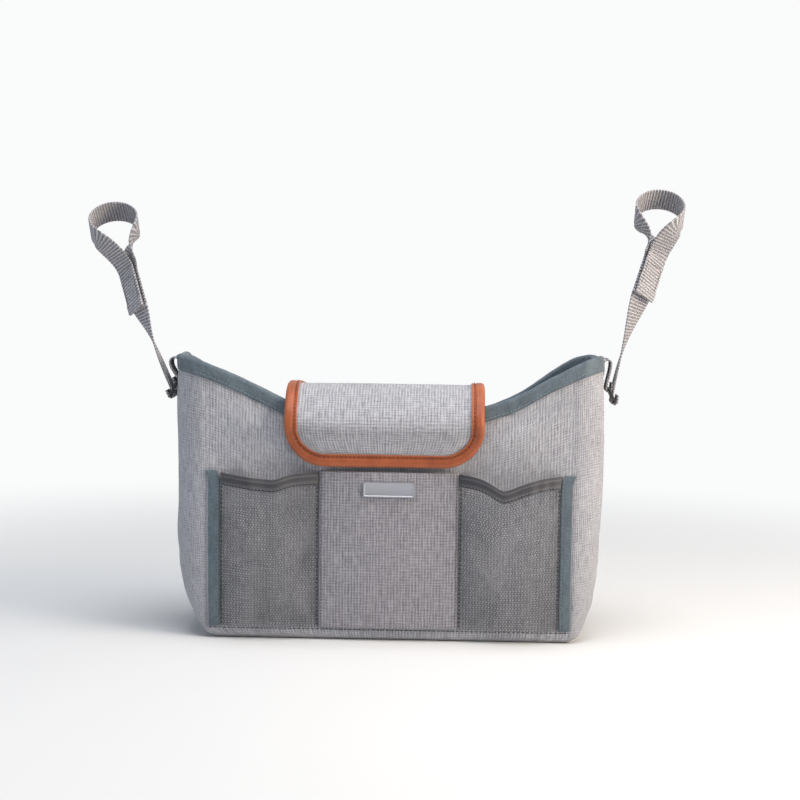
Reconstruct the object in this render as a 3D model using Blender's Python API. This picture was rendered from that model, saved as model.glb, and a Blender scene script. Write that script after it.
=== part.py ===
"""Stroller organizer: a soft bag that hangs under a handlebar on two webbing straps."""
import bmesh
import bpy
from math import asin, cos, pi, radians, sin
from mathutils import Vector

for item in list(bpy.data.objects):
    bpy.data.objects.remove(item)

# Air left between two pieces that touch
GAP = 0.0003

# Edges that turn more than this stay sharp
SHARP = radians(40)

# Bag body, standing on its base, front towards -Y
MOUTH_HALF = 0.169
BASE_HALF = 0.1445
MOUTH_DEPTH_HALF = 0.052
BASE_DEPTH_HALF = 0.047
FLARE_HEIGHT = 0.095
SEAM_HALF = 0.1442
SEAM_ROUNDING = 0.004
CORNER_HEIGHT = 0.225
RIM_MID_HEIGHT = 0.1715
RIM_CURVE = 1.75
WALL = 0.0024
LINING = 0.0006
BASE_THICKNESS = 0.003

# Facets of the walls: across a face, round a gusset, and the gusset's share in each corner
FACE_STEPS = 20
BASE_STEPS = 8
GUSSET_STEPS = 10
WALL_ROWS = 8
LINING_ROWS = 4
ARC_SHARE = 0.4

# Woven binding folded over the mouth
BINDING_HEIGHT = 0.012
BINDING_THICKNESS = 0.0008

# Closing flap and its leather edging
FLAP_HALF = 0.0780
FLAP_THICKNESS = 0.003
FLAP_CORNER = 0.032
FLAP_BACK_OVERLAP = 0.034
FLAP_TOP_HEIGHT = 0.2015
FLAP_CREASE_HEIGHT = 0.177
FLAP_END_HEIGHT = 0.140
FLAP_CREASE_BULGE = 0.0145
FLAP_BACK_BEND = 0.009
FLAP_FRONT_DROP = 0.0035
FLAP_FRONT_BEND = 0.004
FLAP_CREASE_BEND = 0.005
FLAP_CREASE_RECOVERY = 0.003
TRIM_WIDTH = 0.010
TRIM_THICKNESS = 0.0008
TRIM_CLEAR = 0.0006
FLAP_ROWS = 18
CORNER_ROWS = 7

# Magnetic snap under the flap
SNAP_RADIUS = 0.0042
SNAP_THICKNESS = 0.0022
SNAP_HEIGHT = 0.1548

# Pockets on the front
POCKET_LOW = 0.0105
POCKET_HIGH = 0.135
CENTRE_POCKET_HALF = 0.0552
CENTRE_POCKET_BULGE = 0.0062
CENTRE_POCKET_FLAT = 0.6
CENTRE_POCKET_FOOT = 0.15
POCKET_CLOTH = 0.0012
SIDE_BINDING_WIDTH = 0.0100
SIDE_BINDING_THICKNESS = 0.0018
TOP_BINDING_HEIGHT = 0.0082
TOP_BINDING_THICKNESS = 0.0018
NET_THICKNESS = 0.0012
NET_COLUMNS = 5
NET_ROWS = 8
NET_STRAND = 0.17
NET_FOLD = 0.0011
NET_FOLD_PAIRS = 3
NET_FLAT = 0.7
NET_FOOT = 0.1
NET_RISE = 1.6
NET_RISE_CURVE = 0.6
SAG_REACH = 0.5
SAG_CURVE = 1.3
NET_BULGE = {"left": 0.0125, "right": 0.0165}
NET_SAG = {"left": 0.0030, "right": 0.0136}
SAG_PLACE = {"left": 0.40, "right": 0.39}

# Bare badge plate
BADGE_HALF = 0.020
BADGE_HEIGHT = 0.012
BADGE_THICKNESS = 0.0014
BADGE_MID_HEIGHT = 0.1228
BADGE_CORNER = 0.002

# Webbing of the side tabs and handle straps
WEB_WIDTH = 0.020
WEB_THICKNESS = 0.0014
TAB_LOW = 0.156
TAB_TOP = 0.225
TAB_BEND = 0.0048
TAB_STEP = 0.003
TAB_LEAVE = radians(72.5)
FOLD_BACK = 0.005

# Plastic strap slider
SLIDER_TOP_OUT = 0.1742
SLIDER_TOP_HEIGHT = 0.2
SLIDER_TILT = radians(25)
SLIDER_PITCH = 0.0055
BAR = 0.002
BAR_EDGE = 0.0005
SLIDER_SIDE = 0.0025
SLIDER_SLOT_PLAY = 0.0005

# Handle loops
HANDLE_RADIUS = 0.0180
LOOP_OUT = {"left": 0.2265, "right": 0.2122}
LOOP_HEIGHT = {"left": 0.3255, "right": 0.3407}
LOOP_LEAN = radians(51)
CLOSURE_OUT = {"left": 0.2078, "right": 0.2025}
CLOSURE_FORWARD = 0.010
CLOSURE_HEIGHT = {"left": 0.2615, "right": 0.2775}
CLOSURE_LENGTH = 0.030
CLOSURE_LEAN = radians(19)
CLOSURE_PITCH = radians(20)
CLOSURE_TWIST = {"left": radians(50), "right": radians(58)}
STRAP_LEAVE = radians(57)
LOOP_START = radians(196)
LOOP_END = radians(-38)
PATCH_THICKNESS = 0.0008
PATCH_MARGIN = 0.0015
TAIL_HEM = 0.004

SIDES = {"left": -1, "right": 1}


def material(name, colour, roughness, metallic=0.0):
    """A plain surface with one colour."""
    made = bpy.data.materials.new(name)
    made.use_nodes = True
    shader = made.node_tree.nodes["Principled BSDF"]
    shader.inputs["Base Color"].default_value = (*colour, 1.0)
    shader.inputs["Roughness"].default_value = roughness
    shader.inputs["Metallic"].default_value = metallic
    return made


HEATHER = ("heather_cloth", (0.41, 0.41, 0.44), 0.9)
SLATE = ("slate_binding", (0.10, 0.15, 0.16), 0.85)
CHARCOAL = ("charcoal_binding", (0.09, 0.09, 0.10), 0.85)
NETTING = ("netting", (0.12, 0.12, 0.13), 0.7)
LEATHER = ("tan_leather", (0.52, 0.12, 0.04), 0.5)
WEBBING = ("grey_webbing", (0.36, 0.34, 0.35), 0.85)
PLASTIC = ("black_plastic", (0.012, 0.013, 0.015), 0.45)
SATIN = ("satin_metal", (0.45, 0.48, 0.52), 0.4, 0.8)
HOOKS = ("hook_tape", (0.03, 0.03, 0.03), 0.95)


def finish(name, bm, look):
    """Turn a bmesh into a named object with its material."""
    bm.normal_update()
    bmesh.ops.recalc_face_normals(bm, faces=bm.faces)
    if bm.calc_volume(signed=True) < 0:
        bmesh.ops.reverse_faces(bm, faces=bm.faces)
    mesh = bpy.data.meshes.new(name)
    bm.to_mesh(mesh)
    bm.free()
    mesh.shade_smooth()
    mesh.set_sharp_from_angle(angle=SHARP)
    mesh.materials.append(material(name + "_" + look[0], *look[1:]))
    made = bpy.data.objects.new(name, mesh)
    bpy.context.collection.objects.link(made)
    return made


def slab(name, look, place, columns, rows):
    """A cloth panel: place(u, v, side) gives its points, side 0 outside and 1 inside."""
    bm = bmesh.new()
    bmesh.ops.create_grid(bm, x_segments=columns, y_segments=rows, size=0.5)
    return thicken(name, look, bm, place)


def thicken(name, look, bm, place):
    """Give a flat pattern its second side, then lay it on its surface."""
    bmesh.ops.solidify(bm, geom=bm.faces[:], thickness=1.0)
    for vert in bm.verts:
        side = round(abs(vert.co.z))
        vert.co = place(vert.co.x + 0.5, vert.co.y + 0.5, side)
    return finish(name, bm, look)


def loft(name, look, rings):
    """Join equal rings of points into one capped body."""
    bm = bmesh.new()
    made = [[bm.verts.new(point) for point in ring] for ring in rings]
    for low, high in zip(made, made[1:]):
        for i in range(len(low)):
            j = (i + 1) % len(low)
            bm.faces.new((low[i], low[j], high[j], high[i]))
    bm.faces.new(made[0])
    bm.faces.new(made[-1])
    return finish(name, bm, look)


def steps(low, high, count):
    """Evenly spaced values from low to high."""
    return [low + (high - low) * i / count for i in range(count + 1)]


# Shape of the bag


def flare(z):
    """1 at the base, falling to 0 where the bag reaches full width."""
    return max(0.0, 1.0 - z / FLARE_HEIGHT) ** 2


def half_width(z):
    return MOUTH_HALF - (MOUTH_HALF - BASE_HALF) * flare(z)


def half_depth(z):
    return MOUTH_DEPTH_HALF - (MOUTH_DEPTH_HALF - BASE_DEPTH_HALF) * flare(z)


def seam_half(z):
    """Half the width between the front panel's two seams."""
    return min(SEAM_HALF, half_width(z) - SEAM_ROUNDING)


def rim_height(x):
    """Height of the mouth's edge, highest at the corners."""
    share = min(1.0, abs(x) / MOUTH_HALF)
    return CORNER_HEIGHT - (CORNER_HEIGHT - RIM_MID_HEIGHT) * (1 - share ** 2) ** RIM_CURVE


def gusset_point(t, z, depth, trim=0.0):
    """Point on the right gusset, t from 0 at the front seam to 1 at the back seam."""
    radius = half_width(z) - seam_half(z)
    middle = half_depth(z) - radius
    first = asin(min(1.0, trim / (radius - depth))) if trim else 0.0
    if ARC_SHARE <= t <= 1 - ARC_SHARE:
        along = (t - ARC_SHARE) / (1 - 2 * ARC_SHARE)
        return Vector((half_width(z) - depth, middle * (2 * along - 1), z))
    end = min(t, 1 - t) / ARC_SHARE
    angle = first + (pi / 2 - first) * end
    x = seam_half(z) + (radius - depth) * sin(angle)
    y = middle + (radius - depth) * cos(angle)
    return Vector((x, y if t > 0.5 else -y, z))


def gusset_rim(t):
    return rim_height(gusset_point(t, CORNER_HEIGHT, 0.0).x)


WALL_LOW = BASE_THICKNESS + GAP
EDGE_DROP = BINDING_THICKNESS + GAP
LINING_OUT = WALL + GAP
INNER_FACE = LINING_OUT + LINING


def face_panel(name, facing):
    """The flat front or back panel, from the base seam to the mouth."""
    def place(u, v, side):
        share = 2 * u - 1
        top = rim_height(share * (SEAM_HALF - GAP / 2)) - EDGE_DROP
        z = WALL_LOW + v * (top - WALL_LOW)
        x = share * (seam_half(z) - GAP / 2)
        return Vector((x, facing * (half_depth(z) - side * WALL), z))
    return slab(name, HEATHER, place, FACE_STEPS, WALL_ROWS)


def gusset(name, facing):
    """The side panel, rounded into the front and the back."""
    def place(u, v, side):
        top = gusset_rim(u) - EDGE_DROP
        z = WALL_LOW + v * (top - WALL_LOW)
        point = gusset_point(u, z, side * WALL, GAP)
        return Vector((facing * point.x, point.y, z))
    return slab(name, HEATHER, place, GUSSET_STEPS, WALL_ROWS)


def outline(z, depth, face_steps=FACE_STEPS):
    """The whole way round the bag at one height."""
    reach = seam_half(z)
    deep = half_depth(z) - depth
    front = [Vector((x, -deep, z)) for x in steps(-reach, reach, face_steps)]
    right = [gusset_point(t, z, depth) for t in steps(0, 1, GUSSET_STEPS)]
    back = [Vector((-p.x, -p.y, z)) for p in front]
    left = [Vector((-p.x, -p.y, z)) for p in right]
    return front[:-1] + right[:-1] + back[:-1] + left[:-1]


def base_panel():
    """Flat stiffened bottom that the bag stands on."""
    rings = [outline(z, 0.0, BASE_STEPS) for z in (0.0, BASE_THICKNESS)]
    return loft("base_panel", HEATHER, rings)


def lining():
    """Thin inner bag, open at the top."""
    shares = steps(0.0, 1.0, LINING_ROWS)

    def ring(depth, share, bottom):
        tops = [rim_height(point.x) - EDGE_DROP for point in outline(CORNER_HEIGHT, depth)]
        heights = [bottom + share * (top - bottom) for top in tops]
        return [outline(z, depth)[i] for i, z in enumerate(heights)]
    outer = [ring(LINING_OUT, share, WALL_LOW) for share in shares]
    inner = [ring(INNER_FACE, share, WALL_LOW + LINING) for share in reversed(shares)]
    return loft("lining", SLATE, outer + inner)


def binding_section(place, rim):
    """U-shaped fold over the mouth's edge; place(depth, z) gives its points."""
    outside = -GAP
    inside = INNER_FACE + GAP
    low = rim - BINDING_HEIGHT
    under = rim - BINDING_THICKNESS
    corners = (
        (outside - BINDING_THICKNESS, low),
        (outside - BINDING_THICKNESS, rim),
        (inside + BINDING_THICKNESS, rim),
        (inside + BINDING_THICKNESS, low),
        (inside, low),
        (inside, under),
        (outside, under),
        (outside, low),
    )
    return [place(depth, z) for depth, z in corners]


def face_binding(name, facing):
    """Binding along the front or back edge of the mouth."""
    reach = SEAM_HALF - GAP / 2
    rings = []
    for x in steps(-reach, reach, FACE_STEPS):
        def place(depth, z, x=x):
            return Vector((x, facing * (half_depth(z) - depth), z))
        rings.append(binding_section(place, rim_height(x)))
    return loft(name, SLATE, rings)


def gusset_binding(name, facing):
    """Binding along a side edge of the mouth."""
    rings = []
    for t in steps(0, 1, GUSSET_STEPS):
        def place(depth, z, t=t):
            point = gusset_point(t, z, depth, GAP)
            return Vector((facing * point.x, point.y, z))
        rings.append(binding_section(place, gusset_rim(t)))
    return loft(name, SLATE, rings)


# Flap

TRIM_STANDOFF = TRIM_THICKNESS + TRIM_CLEAR
FLAP_STANDOFF = TRIM_STANDOFF + BINDING_THICKNESS + 2 * GAP + FLAP_THICKNESS / 2
SNAP_STANDOFF = 2 * SNAP_THICKNESS + 3 * GAP + FLAP_THICKNESS / 2


def flap_knots():
    """Side view of the flap as (y, z), from its sewn end at the back to its front edge."""
    back = MOUTH_DEPTH_HALF + FLAP_STANDOFF
    front = -MOUTH_DEPTH_HALF
    crease = front - FLAP_CREASE_BULGE
    closed = front - SNAP_STANDOFF
    return [
        (back, FLAP_TOP_HEIGHT - FLAP_CREASE_BEND - FLAP_BACK_OVERLAP),
        (back, FLAP_TOP_HEIGHT - FLAP_BACK_BEND - FLAP_CREASE_RECOVERY),
        (back - FLAP_BACK_BEND, FLAP_TOP_HEIGHT - GAP),
        (0.0, FLAP_TOP_HEIGHT),
        (front + FLAP_FRONT_BEND, FLAP_TOP_HEIGHT - FLAP_FRONT_DROP),
        (crease + FLAP_CREASE_BEND, (FLAP_TOP_HEIGHT + FLAP_CREASE_HEIGHT) / 2),
        (crease, FLAP_CREASE_HEIGHT),
        (closed - FLAP_CREASE_RECOVERY, (FLAP_CREASE_HEIGHT + SNAP_HEIGHT) / 2),
        (closed, SNAP_HEIGHT),
        (closed, FLAP_END_HEIGHT),
    ]


def smooth_curve(knots, per_span):
    """Points on a smooth curve through the knots."""
    ends = [2 * knots[0] - knots[1], *knots, 2 * knots[-1] - knots[-2]]
    made = []
    for i in range(1, len(ends) - 2):
        before, start, stop, after = ends[i - 1:i + 3]
        for k in range(per_span):
            t = k / per_span
            made.append(0.5 * (2 * start + (stop - before) * t
                               + (2 * before - 5 * start + 4 * stop - after) * t ** 2
                               + (3 * start - before - 3 * stop + after) * t ** 3))
    made.append(knots[-1])
    return made


FLAP_LINE = smooth_curve([Vector((0.0, y, z)) for y, z in flap_knots()], 12)
FLAP_RUN = [0.0]
for near, far in zip(FLAP_LINE, FLAP_LINE[1:]):
    FLAP_RUN.append(FLAP_RUN[-1] + (far - near).length)
FLAP_LENGTH = FLAP_RUN[-1]


def flap_point(x, run, depth):
    """Point on the flap at a width, a distance from the sewn end and a depth under its middle."""
    run = min(max(run, 0.0), FLAP_LENGTH)
    i = next(k for k in range(1, len(FLAP_RUN)) if FLAP_RUN[k] >= run)
    near, far = FLAP_LINE[i - 1], FLAP_LINE[i]
    share = (run - FLAP_RUN[i - 1]) / (FLAP_RUN[i] - FLAP_RUN[i - 1])
    before = FLAP_LINE[max(0, i - 2)]
    after = FLAP_LINE[min(len(FLAP_LINE) - 1, i + 1)]
    heading = (far - before).lerp(after - near, share).normalized()
    inward = Vector((0.0, heading.z, -heading.y))
    return near.lerp(far, share) + inward * depth + Vector((x, 0.0, 0.0))


def flap_half(run, inset):
    """Half the flap's width, rounded off at its front corners."""
    past = run - (FLAP_LENGTH - FLAP_CORNER)
    if past <= 0:
        return FLAP_HALF - inset
    radius = FLAP_CORNER - inset
    past = min(past, radius)
    return FLAP_HALF - FLAP_CORNER + (radius ** 2 - past ** 2) ** 0.5


def flap():
    """Padded cloth flap, sewn to the back and closing over the front."""
    inset = TRIM_STANDOFF
    end = FLAP_LENGTH - inset
    straight = FLAP_LENGTH - FLAP_CORNER
    bend = FLAP_ROWS / (FLAP_ROWS + CORNER_ROWS)

    def place(u, v, side):
        if v <= bend:
            run = straight * v / bend
        else:
            run = straight + (end - straight) * sin((v - bend) / (1 - bend) * pi / 2)
        depth = (side - 0.5) * FLAP_THICKNESS
        return flap_point((2 * u - 1) * flap_half(run, inset), run, depth)
    return slab("flap", HEATHER, place, 8, FLAP_ROWS + CORNER_ROWS)


def flap_edge():
    """Flap outline as (x, run, inward x, inward run), from one sewn end round to the other."""
    straight = FLAP_LENGTH - FLAP_CORNER
    middle = FLAP_HALF - FLAP_CORNER
    side = [(FLAP_HALF, run, -1.0, 0.0) for run in steps(0.0, straight, FLAP_ROWS)]
    corner = []
    for angle in steps(0.0, pi / 2, CORNER_ROWS)[1:]:
        x = middle + FLAP_CORNER * cos(angle)
        run = straight + FLAP_CORNER * sin(angle)
        corner.append((x, run, -cos(angle), -sin(angle)))
    half = side + corner
    other = [(-x, run, -nx, nr) for x, run, nx, nr in reversed(half)]
    return half + other


def flap_trim():
    """Leather strip folded round the flap's edge."""
    outer = FLAP_THICKNESS / 2 + TRIM_STANDOFF
    inner = FLAP_THICKNESS / 2 + TRIM_CLEAR
    corners = (
        (TRIM_WIDTH, -outer),
        (0.0, -outer),
        (0.0, outer),
        (TRIM_WIDTH, outer),
        (TRIM_WIDTH, inner),
        (TRIM_THICKNESS, inner),
        (TRIM_THICKNESS, -inner),
        (TRIM_WIDTH, -inner),
    )
    rings = []
    for x, run, nx, nr in flap_edge():
        rings.append([flap_point(x + nx * w, run + nr * w, d) for w, d in corners])
    return loft("flap_trim", LEATHER, rings)


def disc(name, look, centre, axis, radius, thickness):
    """A flat round piece with a softened edge."""
    bm = bmesh.new()
    bmesh.ops.create_cone(bm, cap_ends=True, segments=24, radius1=radius,
                          radius2=radius, depth=thickness)
    rims = [edge for edge in bm.edges if abs(edge.verts[0].co.z - edge.verts[1].co.z) < 1e-9]
    bmesh.ops.bevel(bm, geom=rims, offset=thickness / 4, segments=1, affect="EDGES")
    turn = Vector((0, 0, 1)).rotation_difference(axis)
    for vert in bm.verts:
        vert.co = centre + turn @ vert.co
    return finish(name, bm, look)


def snaps():
    """Magnetic snap halves, one on the front panel and one under the flap."""
    forward = Vector((0.0, -1.0, 0.0))
    seat = -half_depth(SNAP_HEIGHT) - GAP
    first = seat - SNAP_THICKNESS / 2
    second = first - SNAP_THICKNESS - GAP
    disc("panel_snap", SATIN, Vector((0, first, SNAP_HEIGHT)), forward, SNAP_RADIUS, SNAP_THICKNESS)
    disc("flap_snap", SATIN, Vector((0, second, SNAP_HEIGHT)), forward, SNAP_RADIUS, SNAP_THICKNESS)


# Pockets


def centre_swell(u, v):
    """How far the centre pocket stands off the front, 0 to 1."""
    return sin(pi * u) ** CENTRE_POCKET_FLAT * min(1.0, CENTRE_POCKET_FOOT + v) ** 0.5


def pocket_front(x, z, stand):
    return Vector((x, -half_depth(z) - GAP - stand, z))


def centre_pocket():
    """Flat cloth pocket, sewn down both sides and along the bottom."""
    def place(u, v, side):
        x = (2 * u - 1) * CENTRE_POCKET_HALF
        z = POCKET_LOW + v * (POCKET_HIGH - POCKET_LOW)
        stand = CENTRE_POCKET_BULGE * centre_swell(u, v) + (1 - side) * POCKET_CLOTH
        return pocket_front(x, z, stand)
    return slab("centre_pocket", HEATHER, place, 14, 7)


NET_IN = CENTRE_POCKET_HALF + GAP
NET_OUT = SEAM_HALF - SIDE_BINDING_WIDTH - GAP


def net_top(side_name, u):
    """Height of a net pocket's mouth, sagging between its ends."""
    away = abs(u - SAG_PLACE[side_name]) / SAG_REACH
    return POCKET_HIGH - NET_SAG[side_name] * max(0.0, 1.0 - away) ** SAG_CURVE


def net_swell(side_name, u, v):
    """Distance of the net off the front, with soft folds gathered at the bottom."""
    rise = min(1.0, NET_FOOT + NET_RISE * v) ** NET_RISE_CURVE
    full = NET_BULGE[side_name] * sin(pi * u) ** NET_FLAT * rise
    fold = NET_FOLD * sin(2 * pi * NET_FOLD_PAIRS * u) * (1 - v) * sin(pi * u)
    return max(0.0, full + fold)


def net_place(side_name, thickness, low, high):
    """Lay a pattern on a net pocket's surface between two shares of its height."""
    def place(u, v, side):
        x = SIDES[side_name] * (NET_IN + u * (NET_OUT - NET_IN))
        top = net_top(side_name, u)
        z = low(top) + v * (high(top) - low(top))
        tall = (z - POCKET_LOW) / (POCKET_HIGH - POCKET_LOW)
        stand = net_swell(side_name, u, tall) + (1 - side) * thickness
        return pocket_front(x, z, stand)
    return place


def net_pattern():
    """Flat diamond net: a lattice of cells, each opened inside its strands."""
    bm = bmesh.new()
    wide, tall = 2 * NET_COLUMNS, 2 * NET_ROWS
    knots = {}
    for i in range(wide + 1):
        for j in range(tall + 1):
            if (i + j) % 2 == 0:
                knots[i, j] = bm.verts.new((i, j, 0.0))
    open_cells = []
    for i in range(wide + 1):
        for j in range(tall + 1):
            if (i + j) % 2 == 0:
                continue
            ring = [(i - 1, j), (i, j - 1), (i + 1, j), (i, j + 1)]
            found = [knots[key] for key in ring if key in knots]
            face = bm.faces.new(found)
            if len(found) == 4:
                open_cells.append(face)
    border = [edge for edge in bm.edges if len(edge.link_faces) == 1]
    bm.normal_update()
    bmesh.ops.inset_individual(bm, faces=open_cells, thickness=NET_STRAND, use_even_offset=True)
    bmesh.ops.delete(bm, geom=open_cells, context="FACES")
    bmesh.ops.subdivide_edges(bm, edges=border, cuts=1)
    for vert in bm.verts:
        vert.co.x = vert.co.x / wide - 0.5
        vert.co.y = vert.co.y / tall - 0.5
    return bm


def net_pocket(side_name):
    """A net wall, its folded top edge and the binding down its outer side."""
    step = TOP_BINDING_HEIGHT
    wall = net_place(side_name, NET_THICKNESS, lambda top: POCKET_LOW, lambda top: top - step - GAP)
    thicken(side_name + "_net_wall", NETTING, net_pattern(), wall)
    edge = net_place(side_name, TOP_BINDING_THICKNESS, lambda top: top - step, lambda top: top)
    slab(side_name + "_pocket_top_binding", CHARCOAL, edge, 2 * NET_COLUMNS, 1)

    def strip(u, v, side):
        x = SIDES[side_name] * (SEAM_HALF - SIDE_BINDING_WIDTH * (1 - u))
        z = POCKET_LOW + v * (POCKET_HIGH - POCKET_LOW)
        return pocket_front(x, z, (1 - side) * SIDE_BINDING_THICKNESS)
    slab(side_name + "_pocket_side_binding", SLATE, strip, 1, 6)


def badge():
    """Bare metal plate near the top of the centre pocket."""
    bm = bmesh.new()
    bmesh.ops.create_cube(bm, size=1.0)
    lift = CENTRE_POCKET_BULGE + POCKET_CLOTH + 2 * GAP + BADGE_THICKNESS / 2
    middle = Vector((0.0, -MOUTH_DEPTH_HALF - lift, BADGE_MID_HEIGHT))
    for vert in bm.verts:
        size = Vector((2 * BADGE_HALF, BADGE_THICKNESS, BADGE_HEIGHT))
        vert.co = vert.co * size + middle
    across = [edge for edge in bm.edges if abs(edge.verts[0].co.y - edge.verts[1].co.y) > 1e-6]
    bmesh.ops.bevel(bm, geom=across, offset=BADGE_CORNER, segments=4, affect="EDGES", profile=0.5)
    return finish("badge", bm, SATIN)


# Webbing and hardware


def ribbon(name, look, frames):
    """Webbing along frames of (middle, width direction, face direction)."""
    rings = []
    for middle, across, out in frames:
        w = across * WEB_WIDTH / 2
        t = out * WEB_THICKNESS / 2
        rings.append([middle - w - t, middle + w - t, middle + w + t, middle - w + t])
    return loft(name, look, rings)


def framed(points, widths):
    """Frames along a line of points, square to its heading."""
    frames = []
    for i, point in enumerate(points):
        heading = (points[min(i + 1, len(points) - 1)] - points[max(i - 1, 0)]).normalized()
        across = (widths[i] - heading * widths[i].dot(heading)).normalized()
        frames.append((point, across, across.cross(heading)))
    return frames


def eased(start, start_way, stop, stop_way, count):
    """Points on a curve that leaves one point and reaches another along given ways."""
    reach = (stop - start).length
    made = []
    for t in steps(0.0, 1.0, count)[1:-1]:
        made.append(start * (2 * t ** 3 - 3 * t ** 2 + 1)
                    + start_way * reach * (t ** 3 - 2 * t ** 2 + t)
                    + stop * (3 * t ** 2 - 2 * t ** 3)
                    + stop_way * reach * (t ** 3 - t ** 2))
    return made


def outward(side_name, points):
    """Place points given as (outward, y, z) on the left or the right."""
    return [Vector((SIDES[side_name] * p.x, p.y, p.z)) for p in points]


WRAP = BAR / 2 * 1.15 + GAP + WEB_THICKNESS / 2
SLIDER_DOWN = Vector((sin(SLIDER_TILT), 0.0, -cos(SLIDER_TILT)))
SLIDER_OUT = Vector((cos(SLIDER_TILT), 0.0, sin(SLIDER_TILT)))
TOP_BAR = Vector((SLIDER_TOP_OUT, 0.0, SLIDER_TOP_HEIGHT))
LOW_BAR = TOP_BAR + SLIDER_DOWN * 2 * SLIDER_PITCH
FORWARD = Vector((0.0, -1.0, 0.0))


def wrap(bar, way, turn_steps=8):
    """Fold of webbing round a slider bar: a short end, the turn, then on along the way."""
    over = Vector((-way.z, 0.0, way.x))
    made = [bar - over * WRAP + way * FOLD_BACK]
    for angle in steps(0.0, pi, turn_steps):
        made.append(bar + (-over * cos(angle) - way * sin(angle)) * WRAP)
    return made


def side_tab(side_name):
    """Webbing sewn up the gusset, folded over and round the slider's top bar."""
    flat = MOUTH_HALF + GAP + WEB_THICKNESS / 2
    raised = flat + BINDING_THICKNESS + GAP
    step_height = CORNER_HEIGHT - BINDING_HEIGHT - WEB_THICKNESS
    turn = Vector((raised + TAB_BEND, 0.0, TAB_TOP - TAB_BEND))
    way = Vector((cos(TAB_LEAVE), 0.0, sin(TAB_LEAVE)))
    points = wrap(TOP_BAR, way)
    right = turn + Vector((TAB_BEND, 0.0, 0.0))
    up = Vector((0.0, 0.0, 1.0))
    points += eased(points[-1], way, right, up, 6)
    for angle in steps(0.0, pi, 8):
        points.append(turn + Vector((cos(angle), 0.0, sin(angle))) * TAB_BEND)
    points.append(Vector((raised, 0.0, step_height)))
    points += [Vector((flat, 0.0, z)) for z in steps(step_height - TAB_STEP, TAB_LOW, 3)]
    placed = outward(side_name, points)
    return ribbon(side_name + "_side_tab", WEBBING, framed(placed, [FORWARD] * len(placed)))


def slider(side_name):
    """Moulded frame with three bars and two slots, hung edge-on at the tab."""
    half = WEB_WIDTH / 2 + SLIDER_SLOT_PLAY
    across = [-half - SLIDER_SIDE, -half, half, half + SLIDER_SIDE]
    down = []
    for bar in range(3):
        down += [bar * SLIDER_PITCH - BAR / 2, bar * SLIDER_PITCH + BAR / 2]
    bm = bmesh.new()
    grid = [[bm.verts.new((y, s, 0.0)) for y in across] for s in down]
    for row in range(5):
        for column in range(3):
            if row % 2 == 1 and column == 1:
                continue
            low, high = grid[row], grid[row + 1]
            bm.faces.new((low[column], low[column + 1], high[column + 1], high[column]))
    bm.normal_update()
    bmesh.ops.solidify(bm, geom=bm.faces[:], thickness=BAR)
    for vert in bm.verts:
        level = abs(vert.co.z) - BAR / 2
        point = TOP_BAR + SLIDER_DOWN * vert.co.y + SLIDER_OUT * level
        vert.co = Vector((SIDES[side_name] * point.x, vert.co.x, point.z))
    bmesh.ops.recalc_face_normals(bm, faces=bm.faces)
    bm.normal_update()
    edges = [edge for edge in bm.edges if edge.calc_face_angle(0.0) > radians(30)]
    bmesh.ops.bevel(bm, geom=edges, offset=BAR_EDGE, segments=2, affect="EDGES", profile=0.5)
    return finish(side_name + "_slider", bm, PLASTIC)


LAYER = WEB_THICKNESS + 2 * PATCH_THICKNESS + 3 * GAP


def closure_frame(side_name):
    """Down, across and face directions of the strap where its end is pressed on."""
    upright = Vector((-sin(CLOSURE_LEAN), 0.0, -cos(CLOSURE_LEAN)))
    down = upright * cos(CLOSURE_PITCH) + FORWARD * sin(CLOSURE_PITCH)
    ahead = FORWARD * cos(CLOSURE_PITCH) - upright * sin(CLOSURE_PITCH)
    inward = down.cross(ahead)
    twist = CLOSURE_TWIST[side_name]
    across = ahead * cos(twist) + inward * sin(twist)
    return down, across, across.cross(down)


def handle_strap(side_name):
    """Webbing from the slider up, round the handlebar and back down to its own face."""
    down, across, face = closure_frame(side_name)
    low = Vector((CLOSURE_OUT[side_name], -CLOSURE_FORWARD, CLOSURE_HEIGHT[side_name]))
    high = low - down * CLOSURE_LENGTH
    way = Vector((cos(STRAP_LEAVE), 0.0, sin(STRAP_LEAVE)))
    centre = Vector((LOOP_OUT[side_name], 0.0, LOOP_HEIGHT[side_name]))
    first = Vector((1.0, 0.0, 0.0))
    second = Vector((0.0, sin(LOOP_LEAN), cos(LOOP_LEAN)))
    radius = HANDLE_RADIUS + GAP + WEB_THICKNESS / 2
    grip_across = first.cross(second)

    def on_loop(angle):
        return centre + (first * cos(angle) + second * sin(angle)) * radius

    def loop_way(angle):
        return first * sin(angle) - second * cos(angle)

    points = wrap(LOW_BAR, way)
    widths = [FORWARD] * len(points)

    def run(more, start, stop):
        for i, point in enumerate(more):
            share = (i + 1) / (len(more) + 1)
            points.append(point)
            widths.append(start.lerp(stop, share * share * (3 - 2 * share)).normalized())

    run(eased(points[-1], way, low, -down, 12), FORWARD, across)
    run([low, low.lerp(high, 0.5), high], across, across)
    run(eased(high, -down, on_loop(LOOP_START), loop_way(LOOP_START), 8), across, grip_across)
    run([on_loop(angle) for angle in steps(LOOP_START, LOOP_END, 20)], grip_across, grip_across)
    shift = face * LAYER
    run(eased(on_loop(LOOP_END), loop_way(LOOP_END), high + shift, down, 12), grip_across, across)
    tail = low + down * TAIL_HEM
    run([(high + shift).lerp(tail + shift, share) for share in (0.0, 0.5, 1.0)], across, across)
    mirrored = outward(side_name, points)
    turned = outward(side_name, widths)
    return ribbon(side_name + "_handle_strap", WEBBING, framed(mirrored, turned))


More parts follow.
